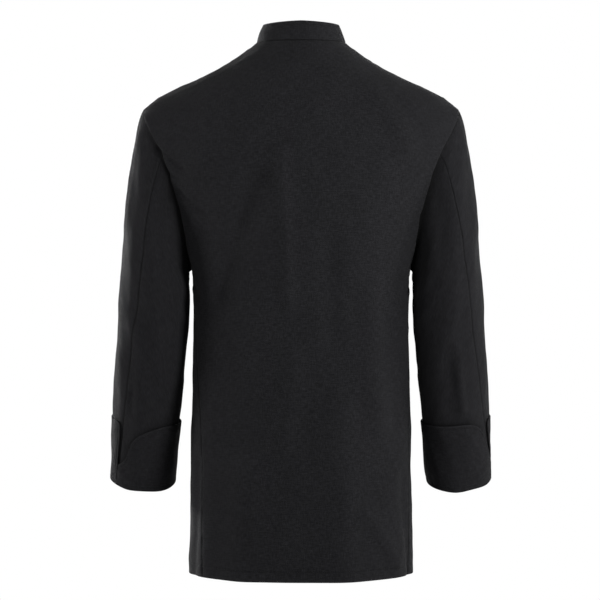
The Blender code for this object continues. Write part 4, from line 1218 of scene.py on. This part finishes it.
def add_front(hand):
    """Makes a front and notes the stitches of its hem and of its edge on the lap."""
    sizes = bpy.context.scene.jacket_sizes
    side = SIDE_NAMES[hand]
    rows = panel_rows(-1, sizes.grid)
    part = by_length(lambda p: front_place(rows, hand, p), 1, -1, sizes.grid, SEAM, FOLD)
    points, normals = front_place(rows, hand, part)
    edges = grid_edges(points, left=SEAM, right=FOLD, top=NECK, low=HEM)
    piece, outer = shell(f"front_{side}_panel", points, normals, sizes.cloth, edges, body_flat(points),
                         armhole_stand(rows, points, False))
    dress(piece, f"front_{side}")
    row, column = -1 - stitch_index(HEM), -1 - stitch_index(FOLD)
    sew(outer[row, :column + 1], normals[row, :column + 1])
    sew(outer[:, column], normals[:, column])


def collar_grid(part, down):
    """Points of the collar: part runs between its ends and down from the top edge to the seam."""
    degrees = part * COLLAR_END_DEG
    height = COLLAR.at(np.abs(degrees)).height
    fall = down * height
    inset = 1.0 - np.sqrt(1.0 - np.clip(1.0 - fall / COLLAR_CORNER, 0.0, 1.0) ** 2)
    pull = np.degrees(inset * COLLAR_CORNER / NECK_RADIUS) / COLLAR_END_DEG
    return collar_place(degrees * (1.0 - pull), height - fall)


def outline_distance(flat, outline):
    """Distance of flat points from an outline, and the run along it of the nearest place."""
    start, run = outline[:-1], np.diff(outline, axis=0)
    length, before = np.linalg.norm(run, axis=1), running(outline)[:-1]
    best, along = np.full(flat.shape[:-1], 1.0), np.zeros(flat.shape[:-1])
    for a, b, size, base in zip(start, run, length, before):
        share = np.clip(((flat - a) @ b) / max(size * size, TINY), 0.0, 1.0)
        away = np.linalg.norm(flat - a - share[..., None] * b, axis=-1)
        closer = away < best
        best, along = np.where(closer, away, best), np.where(closer, base + share * size, along)
    return best, along


def inset_line(outline, distance):
    """An outline moved in by a distance, to the right of the way it runs, with its loops dropped."""
    run = running(outline)
    line = read_along(np.linspace(0.0, run[-1], INSET_POINTS), run, outline)
    along = unit(np.gradient(line, axis=0))
    moved = line + np.stack([along[:, 1], -along[:, 0]], axis=-1) * distance
    keep = outline_distance(moved, outline)[0] > distance * INSET_SHARE
    return moved[keep]


def add_collar():
    """Makes the collar, with its stitches along the ends and the top."""
    sizes = bpy.context.scene.jacket_sizes
    tall = COLLAR.at(0.0).height
    top, low = FOLD.near / tall, 1.0 - SEAM.near[::-1] / tall
    count = math.ceil((low[0] - top[-1]) * tall / COLLAR_GRID)
    down = np.concatenate([top, np.linspace(top[-1], low[0], count + 1)[1:-1], low])[:, None]
    part = by_length(lambda p: collar_grid(p, down), -1, 1, COLLAR_GRID, FOLD, FOLD)
    points, normals = collar_grid(part, down)
    across, fall = running(points, 1), running(points, 0)
    flat = np.stack([across - across[:, -1:] / 2, fall.max() - fall], axis=-1)
    outline = np.concatenate([flat[::-1, 0], flat[0, 1:], flat[1:, -1]])
    away, along = outline_distance(flat, outline)
    edges = [(COLLAR_EDGE, away, along), *grid_edges(points, low=NECK)]
    piece, outer = shell("collar_band", points, normals, sizes.collar_cloth, edges, flat)
    dress(piece, "collar")
    line = inset_line(outline, COLLAR_EDGE.stitch)
    sew(*flat_to_grid(line, flat, outer, normals))


def flat_to_grid(line, flat, outer, normals):
    """Points of a grid's outer face and its normals at flat places."""
    points, directions = [], []
    for place in line:
        away = np.linalg.norm(flat - place, axis=-1)
        nearest = np.argsort(away, axis=None)[:NEAREST]
        weight = 1.0 / (away.ravel()[nearest] + NEAREST_FLOOR) ** 2
        weight = weight / weight.sum()
        points.append(weight @ outer.reshape(-1, 3)[nearest])
        directions.append(weight @ normals.reshape(-1, 3)[nearest])
    return np.array(points), unit(np.array(directions))


def sleeve_columns(hand, top, part, level):
    """Angles of a sleeve piece's columns, between its two seams."""
    back, front = sleeve_seams(level, hand)
    if top:
        return front + (360.0 + back - front) * part
    return back + (front - back) * part


def sleeve_rows(hand, top, grid):
    """Levels of a sleeve piece's rows at even steps across it, the first ones beside the armhole."""
    part = np.linspace(0.0, 1.0, ROW_PARTS)[None, :]
    level = np.linspace(0.0, 1.0, DENSE)[:, None]
    points = sleeve_place(sleeve_columns(hand, top, part, level), level, hand)[0]
    run = running(points, 0)
    near = np.stack([np.interp(SEAM.near, run[:, j], level[:, 0]) for j in range(ROW_PARTS)], axis=1)
    count = math.ceil((run[-1].max() - SEAM.near[-1]) / grid)
    head = near[-1] + (1.0 - near[-1]) * np.linspace(0.0, 1.0, count + 1)[1:-1, None]
    arm = math.ceil((SLEEVE_TOP_Z - WRIST_Z) * (SLEEVE_END - 1.0) / grid)
    arm = np.linspace(1.0, SLEEVE_END, arm + 1)[:, None] + 0.0 * part
    return part[0], np.concatenate([near, head, arm])


def add_sleeve_piece(hand, top):
    """Makes the top or the under piece of a sleeve, dipped beside the armhole, with painted shade there and
    beside the cuff.
    """
    sizes = bpy.context.scene.jacket_sizes
    knots, levels = sleeve_rows(hand, top, sizes.grid)

    def angles(part):
        part = np.broadcast_to(part, (len(levels), part.shape[-1]))
        level = np.array([np.interp(p, knots, row) for p, row in zip(part, levels)])
        return sleeve_columns(hand, top, part, level), level

    part = by_length(lambda p: sleeve_place(*angles(p), hand), 0.0, 1.0, sizes.grid, SEAM, SEAM)
    degrees, level = angles(part)
    points, normals = sleeve_place(degrees, level, hand)
    away = running(points, 0)
    turn = sleeve_columns(hand, top, part[:1], 0.0 * part[:1]) % 360.0
    dip_and_shade_share = fade(np.minimum(turn, 360.0 - turn), *ARMHOLE_DIP_AND_SHADE_TURN)
    near, far = ARMHOLE_SINK_REACH
    sink = ARMHOLE_SINK * dip_and_shade_share * (1.0 - np.exp(-away / near)) * bell(away, far)
    # Painted shade on the sleeve beside the armhole, plus the painted shadow beside the cuff's edge.
    painted_shade = dip_and_shade_share * sum(share * np.exp(-away / reach) for share, reach in ARMHOLE_PAINTED_SHADE)
    painted_shade = painted_shade + cuff_painted_shadow(degrees, level, hand)
    points = points - normals * sink[..., None]
    node = f"sleeve_{SIDE_NAMES[hand]}_{'top' if top else 'under'}"
    edges = grid_edges(points, left=SEAM, right=SEAM, top=ARMHOLE_EDGE)
    piece, _ = shell(f"{node}_piece", points, normals, sizes.cloth, edges, grid_flat(points), painted_shade=painted_shade)
    dress(piece, node)


def cuff_edge(height, hand):
    """Flat places of both sides of the slit, round from the back seam."""
    edges = CUFF_EDGES.at(height)
    return edges.left if hand == LEFT else edges.right, 2 * math.pi * CUFF_RADIUS - edges.outer


def cuff_outline(hand):
    """The slit and the top edge of a cuff as a flat line, from the slit's foot round to it again."""
    slit = np.linspace(CUFF_SLIT_FOOT, CUFF_HEIGHT, CUFF_SLIT_POINTS)
    body, outer_side = cuff_edge(slit, hand)
    return np.concatenate([np.stack([body, slit], -1), np.stack([outer_side, slit], -1)[::-1]])


def cuff_painted_shadow(degrees, level, hand):
    """Painted shadow: how dark the sleeve's cloth is painted beside the cuff's edge."""
    rise = (2.0 - level) * (SLEEVE_TOP_Z - WRIST_Z)
    height = rise * CUFF_HEIGHT / cuff_top(degrees)
    slit = sleeve_seams(cuff_level(height), hand)[0]
    across = np.radians((degrees - slit) % 360.0) * CUFF_RADIUS
    line = cuff_outline(hand)
    beside = np.stack([across, height], axis=-1)
    turned_round = beside - np.array((2 * math.pi * CUFF_RADIUS, 0.0))
    away = np.minimum(outline_distance(beside, line)[0], outline_distance(turned_round, line)[0])
    return CUFF_PAINTED_SHADOW * np.exp(-away / CUFF_PAINTED_SHADOW_REACH)


def cuff_flat(across, height, hand):
    """Points of the sleeve's face under a flat place of the cuff, its normals and the way down."""
    slit = sleeve_seams(cuff_level(height), hand)[0]
    degrees = slit + np.degrees(across / CUFF_RADIUS)
    points, normals = cuff_place(degrees, height, hand)
    down = unit(points - cuff_place(degrees, height + SLEEVE_SPAN, hand)[0])
    return points, normals, down


def cuff_rows(cloth):
    """Rows of a cuff from its top over the fold and up inside: height, offset and turn of the face."""
    mean = CUFF_GAP + cloth / 2
    top = CUFF_HEIGHT - CUFF_EDGE.near
    outer = np.concatenate([top, np.arange(top[-1] - CUFF_GRID, mean + cloth, -CUFF_GRID)])
    rows = [(height, mean, 0.0) for height in outer]
    for angle in np.linspace(0.0, 180.0, CUFF_FOLD_ROWS):
        turn = math.radians(angle)
        rows.append((mean + cloth / 2 - math.sin(turn) * mean, mean * math.cos(turn), angle))
    for height in np.linspace(mean + cloth / 2, CUFF_RETURN, CUFF_RETURN_ROWS)[1:]:
        rows.append((height, -mean, 180.0))
    return [np.array(column)[:, None] for column in zip(*rows)]


def add_cuff(hand):
    """Makes a cuff, with its stitches along the slit, the top and the turned edge."""
    sizes = bpy.context.scene.jacket_sizes
    height, offset, turn = cuff_rows(sizes.cuff_cloth)
    outside = turn < 90.0
    first, last = cuff_edge(np.where(outside, height, 0.0), hand)

    def place(part):
        across = first + (last - first) * part
        points, normals, down = cuff_flat(across, height + 0.0 * part, hand)
        face = turned(normals, down, turn + 0.0 * part)
        rise = flat_folds(CUFF_FOLDS[hand], across, height + 0.0 * part)
        return points + normals * (offset + rise)[..., None] + face * sizes.cuff_cloth / 2, face

    part = by_length(place, 0.0, 1.0, CUFF_GRID, CUFF_EDGE, CUFF_EDGE)
    points, faces = place(part)
    flat = np.stack(np.broadcast_arrays(first + (last - first) * part, height), axis=-1)
    outline = cuff_outline(hand)
    away, along = outline_distance(flat, outline)
    away = np.where(outside, away, CUFF_HEIGHT)
    seam = grid_edges(points, left=CUFF_SEAM, right=CUFF_SEAM)
    lift = -GROOVE_DEPTH * bell(height - CUFF_FOLD_STITCH, GROOVE_WIDTH) * outside
    node = f"cuff_{SIDE_NAMES[hand]}"
    piece, outer = shell(f"{node}_turnup", points, faces, sizes.cuff_cloth,
                         [(CUFF_EDGE, away, along), *seam], flat, lift)
    dress(piece, node)
    shown = outside[:, 0]
    line = inset_line(outline, CUFF_EDGE.stitch)
    line = line[line[:, 1] > CUFF_SLIT_FOOT]
    sew(*flat_to_grid(line, flat[shown], outer[shown], faces[shown]))
    row = int(np.argmin(np.abs(height[shown][:, 0] - CUFF_FOLD_STITCH)))
    sew(outer[row], faces[row])


# ---------------------------------------------------------------- what repeats
POINT_FIELDS = ("along", "out", "size")     # what each place of a repeated shape carries


def repeat_tree():
    """Geometry Nodes that set a shape on each point, turned by the point's own directions."""
    tree = bpy.data.node_groups.new("set_on_points", "GeometryNodeTree")
    tree.is_modifier = True
    for name, kind in (("Points", "Geometry"), ("Shape", "Object"), ("Finish", "Material"),
                       ("Unevenness", "Float"), ("Turn", "Float")):
        tree.interface.new_socket(name, in_out="INPUT", socket_type="NodeSocket" + kind)
    tree.interface.new_socket("Mesh", in_out="OUTPUT", socket_type="NodeSocketGeometry")

    def node(kind, settings=None, inputs=None):
        return add_node(tree, kind, settings, inputs)

    def between(seed):
        return node("FunctionNodeRandomValue", {"data_type": "FLOAT"}, {2: -1.0, 3: 1.0, 8: seed}).outputs[1]

    start = node("NodeGroupInput").outputs
    shape = node("GeometryNodeObjectInfo", {"transform_space": "ORIGINAL"}, {"Object": start["Shape"]})
    along, out, size = (node("GeometryNodeInputNamedAttribute", {"data_type": "FLOAT_VECTOR"},
                             {"Name": name}).outputs[0] for name in POINT_FIELDS)
    facing = node("FunctionNodeAxesToRotation", {"primary_axis": "Z", "secondary_axis": "X"},
                  {0: out, 1: along})
    swing = node("ShaderNodeMath", {"operation": "MULTIPLY"}, {0: between(SWING_SEED), 1: start["Turn"]})
    spin = node("FunctionNodeAxisAngleToRotation", {}, {"Axis": (0.0, 0.0, 1.0), "Angle": swing.outputs[0]})
    rotation = node("FunctionNodeRotateRotation", {"rotation_space": "LOCAL"},
                    {0: facing.outputs[0], 1: spin.outputs[0]})
    more = node("ShaderNodeMath", {"operation": "MULTIPLY_ADD"},
                {0: between(LENGTH_SEED), 1: start["Unevenness"], 2: 1.0})
    scale = node("ShaderNodeVectorMath", {"operation": "SCALE"}, {0: size, "Scale": more.outputs[0]})
    placed = node("GeometryNodeInstanceOnPoints", {}, {
        "Points": start["Points"], "Instance": shape.outputs["Geometry"],
        "Rotation": rotation.outputs[0], "Scale": scale.outputs[0]})
    real = node("GeometryNodeRealizeInstances", {}, {"Geometry": placed.outputs[0]})
    finish = node("GeometryNodeSetMaterial", {}, {"Geometry": real.outputs[0], "Material": start["Finish"]})
    node("NodeGroupOutput", {}, {"Mesh": finish.outputs[0]})
    return tree


def set_on_points(name, shape, finish, places, uneven=0.0, turn=0.0):
    """A plain mesh of one shape repeated at places: rows of a point, its run, its normal and its sizes."""
    tree = bpy.data.node_groups.get("set_on_points") or repeat_tree()
    mesh = bpy.data.meshes.new(name + "_places")
    mesh.from_pydata([tuple(place[0]) for place in places], [], [])
    for index, key in enumerate(POINT_FIELDS, start=1):
        values = np.array([place[index] for place in places], np.float32).ravel()
        mesh.attributes.new(key, "FLOAT_VECTOR", "POINT").data.foreach_set("vector", values)
    carrier = in_scene(name + "_places", mesh)
    modifier = carrier.modifiers.new("set_on_points", "NODES")
    modifier.node_group = tree
    given = {"Shape": shape, "Finish": finish, "Unevenness": uneven, "Turn": turn}
    for item in tree.interface.items_tree:
        if item.in_out == "INPUT" and item.name in given:
            modifier[item.identifier] = given[item.name]
    graph = bpy.context.evaluated_depsgraph_get()
    made = bpy.data.meshes.new_from_object(carrier.evaluated_get(graph), depsgraph=graph)
    made.name = name
    bpy.data.objects.remove(carrier, do_unlink=True)
    bpy.data.objects.remove(shape, do_unlink=True)
    return in_scene(name, made)


def thread_shape():
    """One stitch, a metre long and arched: its ends dip into the cloth."""
    work = bmesh.new()
    rings = []
    for step in range(THREAD_STEPS + 1):
        along = step / THREAD_STEPS - 0.5
        height = THREAD_ARCH * (1.0 - (2 * along) ** 2) - THREAD_DIP
        thick = 0.5 * (1.0 - THREAD_TAPER * (2 * along) ** 4)
        rings.append([work.verts.new((along, math.cos(a) * thick, height + math.sin(a) * thick * THREAD_FLAT))
                      for a in round_angles(THREAD_SIDES)])
    for low, high in zip(rings, rings[1:]):
        for i in range(THREAD_SIDES):
            after = (i + 1) % THREAD_SIDES
            work.faces.new((low[i], high[i], high[after], low[after]))
    work.faces.new(rings[0])
    work.faces.new(rings[-1][::-1])
    bmesh.ops.recalc_face_normals(work, faces=work.faces)
    return object_of(work, "thread")


def object_of(work, name):
    """An object of the shape that was worked out."""
    mesh = bpy.data.meshes.new(name)
    work.to_mesh(mesh)
    work.free()
    mesh.shade_smooth()
    return in_scene(name, mesh)


def button_shape():
    """A turned button: raised rim, dished middle with four holes, and a domed underside."""
    sizes = bpy.context.scene.jacket_sizes
    radius, height = sizes.button_radius, sizes.button_height
    work = bmesh.new()

    def ring(reach, rise, sides=BUTTON_SIDES, centre=(0.0, 0.0)):
        return [work.verts.new((centre[0] + math.cos(a) * reach, centre[1] + math.sin(a) * reach, rise))
                for a in round_angles(sides)]

    def wall(low, high):
        for i in range(len(low)):
            after = (i + 1) % len(low)
            work.faces.new((low[i], low[after], high[after], high[i]))

    rings = [ring(radius * reach, height * rise) for reach, rise in BUTTON_PROFILE]
    for low, high in zip(rings, rings[1:]):
        wall(low, high)
    spread = radius * BUTTON_HOLE_SPREAD
    ends = height * BUTTON_PROFILE[-1][1], height * BUTTON_PROFILE[0][1]
    holes = [[ring(radius * BUTTON_HOLE, end, HOLE_SIDES, (spread * x, spread * y)) for end in ends]
             for x in (-1, 1) for y in (-1, 1)]
    for upper, under in holes:
        wall(upper, under)
    for outer, index in ((rings[-1], 0), (rings[0], 1)):
        loops = [outer] + [pair[index] for pair in holes]
        edges = [work.edges.get((loop[i], loop[(i + 1) % len(loop)])) for loop in loops
                 for i in range(len(loop))]
        bmesh.ops.triangle_fill(work, use_beauty=True, edges=edges)
    bmesh.ops.recalc_face_normals(work, faces=work.faces)
    shape = object_of(work, "button")
    shape.data.set_sharp_from_angle(angle=math.radians(BUTTON_SHARP_DEG))
    return shape


def button_places(hand):
    """Where the buttons of one column sit: their points, normals and the level way across."""
    places = []
    for row in range(BUTTON_ROWS):
        z = np.array([BUTTON_TOP_Z - BUTTON_STEP * row])
        points, normals = torso_place(np.array([hand * BUTTON_COLUMN_X]), z, -1)
        points = points + normals * lap_lift(points, LEFT)[..., None]
        side = unit(np.cross(UP, normals))
        places.append((points[0], side[0], normals[0]))
    return places


def evenly(line):
    """Points at even steps along a row of stitches, their runs and the cloth's normals."""
    run = running(line.points)
    count = max(1, round(run[-1] / line.pitch))
    at, step = (np.arange(count) + 0.5) * run[-1] / count, line.pitch / 4
    points, normals = read_along(at, run, line.points), unit(read_along(at, run, line.normals))
    along = unit(read_along(at + step, run, line.points) - read_along(at - step, run, line.points))
    if line.across:
        along = np.cross(normals, along)
    return points, along, normals


def sewn(name, lines, uneven, turn):
    """A piece of all the stitches along some rows."""
    places = [(*place, line.size) for line in lines for place in zip(*evenly(line))]
    piece = set_on_points(name, thread_shape(), finish_of("black_thread"), places, uneven, turn)
    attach(piece, "root")
    return piece


def add_buttonholes():
    """Makes the satin stitches round the buttonholes of the outer front."""
    start = -BUTTON_COLUMN_X - BUTTONHOLE_BACK
    end = start + bpy.context.scene.jacket_sizes.buttonhole
    across = np.linspace(start, end, SATIN_POINTS)
    up = np.linspace(-BUTTONHOLE_HALF * SATIN_END, BUTTONHOLE_HALF * SATIN_END, SATIN_END_POINTS)
    lines = []
    for point, _, _ in button_places(RIGHT):
        for offset in (-BUTTONHOLE_HALF, BUTTONHOLE_HALF):
            lines.append(buttonhole_row(across, point[2] + offset + 0.0 * across))
        for x in (start, end):
            lines.append(buttonhole_row(x + 0.0 * up, point[2] + up))
    sewn("buttonhole_stitches", lines, SATIN_UNEVEN, SATIN_TURN)


def buttonhole_row(x, z):
    """One row of a buttonhole's satin stitches on the outer front."""
    points, normals = torso_place(x, z, -1)
    points = points + normals * lap_lift(points, LEFT)[..., None]
    return thread_line(points, normals, SATIN_PITCH, SATIN_WIDTH, across=True)


def add_buttons():
    """Makes the buttons, and the threads crossed over each."""
    sizes = bpy.context.scene.jacket_sizes
    places = [(point + normal * BUTTON_CLEAR, side, normal, (1.0, 1.0, 1.0)) for hand in SIDE_NAMES
              for point, side, normal in button_places(hand)]
    buttons = set_on_points("buttons", button_shape(), finish_of("black_button"), places)
    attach(buttons, "root")
    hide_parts(*(f"button_{side}_{row + 1}" for side in SIDE_NAMES.values()
                           for row in range(BUTTON_ROWS)))
    lines = []
    spread = sizes.button_radius * BUTTON_HOLE_SPREAD
    for point, side, normal, _ in places:
        up = np.cross(normal, side)
        middle = point + normal * (sizes.button_height * BUTTON_PROFILE[-1][1])
        for slope in (1, -1):
            ends = [middle + (side * x + up * (slope * x)) * spread for x in (-1, 1)]
            lines.append(thread_line(np.array(ends), np.array([normal, normal]), 1.0,
                                     BUTTON_THREAD_LENGTH * spread, BUTTON_THREAD_TALL))
    sewn("button_threads", lines, 0.0, 0.0)


# ---------------------------------------------------------------- stage
def area_light(name, place, target, size, power):
    """A soft lamp that isn't seen itself."""
    data = bpy.data.lights.new(name, "AREA")
    data.shape, data.size, data.size_y = "RECTANGLE", size[0], size[1]
    data.energy = power
    lamp = in_scene(name, data)
    lamp.location = place
    lamp.visible_camera = False
    lamp.rotation_euler = (Vector(target) - Vector(place)).to_track_quat("-Z", "Y").to_euler()


def add_surroundings():
    """White all round: weaker as light than as it is seen."""
    world = bpy.data.worlds.new("studio")
    world.use_nodes = True
    tree = world.node_tree
    background = tree.nodes["Background"]
    background.inputs["Color"].default_value = (1.0, 1.0, 1.0, 1.0)
    ray = add_node(tree, "ShaderNodeLightPath")
    strength = add_node(tree, "ShaderNodeMapRange", {}, {
        "Value": ray.outputs["Is Camera Ray"], "To Min": AMBIENT, "To Max": BACKGROUND})
    tree.links.new(strength.outputs["Result"], background.inputs["Strength"])
    bpy.context.scene.world = world


def add_camera():
    """The view square on the back."""
    data = bpy.data.cameras.new("camera")
    data.lens, data.sensor_width, data.clip_end = CAMERA_LENS, CAMERA_SENSOR, CAMERA_REACH
    camera = in_scene("camera", data)
    camera.location = CAMERA_PLACE
    camera.rotation_euler = [math.radians(turn) for turn in CAMERA_TURN]
    bpy.context.scene.camera = camera
    bpy.context.scene.view_settings.view_transform = "Standard"


def add_stage():
    """Makes the floor, the surroundings, the lamps and the camera."""
    work = bmesh.new()
    work.faces.new([work.verts.new((math.cos(a) * FLOOR_RADIUS, math.sin(a) * FLOOR_RADIUS, FLOOR_Z))
                    for a in round_angles(FLOOR_SIDES)])
    floor = object_of(work, "studio_floor")
    floor.data.materials.append(finish_of("pale_floor"))
    add_surroundings()
    for lamp in LAMPS:
        area_light(*lamp)
    add_camera()


# ---------------------------------------------------------------- operators and panel
class JACKET_OT_back(bpy.types.Operator):
    """Make the back, cut in one"""
    bl_idname = "jacket.back"
    bl_label = "Back"

    def execute(self, context):
        add_back()
        return {"FINISHED"}


class JACKET_OT_fronts(bpy.types.Operator):
    """Make the two fronts, the left one lapping over the right"""
    bl_idname = "jacket.fronts"
    bl_label = "Fronts"

    def execute(self, context):
        for hand in (LEFT, RIGHT):
            add_front(hand)
        return {"FINISHED"}


class JACKET_OT_collar(bpy.types.Operator):
    """Make the stand collar"""
    bl_idname = "jacket.collar"
    bl_label = "Collar"

    def execute(self, context):
        add_collar()
        return {"FINISHED"}


class JACKET_OT_sleeves(bpy.types.Operator):
    """Make the top and under pieces of both sleeves"""
    bl_idname = "jacket.sleeves"
    bl_label = "Sleeves"

    def execute(self, context):
        for hand in (LEFT, RIGHT):
            for top in (True, False):
                add_sleeve_piece(hand, top)
        return {"FINISHED"}


class JACKET_OT_cuffs(bpy.types.Operator):
    """Make the turned-back cuffs, slit at the back seam"""
    bl_idname = "jacket.cuffs"
    bl_label = "Cuffs"

    def execute(self, context):
        for hand in (LEFT, RIGHT):
            add_cuff(hand)
        return {"FINISHED"}


class JACKET_OT_stitches(bpy.types.Operator):
    """Sew the topstitching along the collar, the fronts, the cuffs and the hem"""
    bl_idname = "jacket.stitches"
    bl_label = "Stitches"

    def execute(self, context):
        if not LINES:
            raise RuntimeError("there is no cloth to sew yet")
        sewn("topstitching", LINES, STITCH_UNEVEN, STITCH_TURN)
        return {"FINISHED"}


class JACKET_OT_buttonholes(bpy.types.Operator):
    """Sew the buttonholes of the outer front"""
    bl_idname = "jacket.buttonholes"
    bl_label = "Buttonholes"

    def execute(self, context):
        add_buttonholes()
        return {"FINISHED"}


class JACKET_OT_buttons(bpy.types.Operator):
    """Make the ten buttons and the threads that hold them"""
    bl_idname = "jacket.buttons"
    bl_label = "Buttons"

    def execute(self, context):
        add_buttons()
        return {"FINISHED"}


class JACKET_OT_stage(bpy.types.Operator):
    """Set up the floor, the lights and the camera"""
    bl_idname = "jacket.stage"
    bl_label = "Stage"

    def execute(self, context):
        add_stage()
        return {"FINISHED"}


STEPS = ("back", "fronts", "collar", "sleeves", "cuffs", "stitches", "buttonholes", "buttons", "stage")


class JACKET_PT_panel(bpy.types.Panel):
    """Lists the jacket's pieces, sizes and colours"""
    bl_idname = "JACKET_PT_panel"
    bl_label = "Chef Jacket"
    bl_space_type = "VIEW_3D"
    bl_region_type = "UI"
    bl_category = "Jacket"

    def draw(self, context):
        for group in (context.scene.jacket_sizes, context.scene.jacket_colours):
            column = self.layout.column(align=True)
            for name in group.__annotations__:
                column.prop(group, name)
        for name in STEPS:
            self.layout.operator(f"jacket.{name}")


CLASSES = (JacketSizes, JacketColours, JACKET_OT_back, JACKET_OT_fronts, JACKET_OT_collar, JACKET_OT_sleeves,
           JACKET_OT_cuffs, JACKET_OT_stitches, JACKET_OT_buttonholes, JACKET_OT_buttons, JACKET_OT_stage,
           JACKET_PT_panel)


def register():
    for made in CLASSES:
        bpy.utils.register_class(made)
    bpy.types.Scene.jacket_sizes = bpy.props.PointerProperty(type=JacketSizes)
    bpy.types.Scene.jacket_colours = bpy.props.PointerProperty(type=JacketColours)


def unregister():
    del bpy.types.Scene.jacket_colours
    del bpy.types.Scene.jacket_sizes
    for made in reversed(CLASSES):
        bpy.utils.unregister_class(made)


def main():
    """Makes the whole jacket."""
    register()
    for name in STEPS:
        getattr(bpy.ops.jacket, name)()


if __name__ == "__main__":
    main()
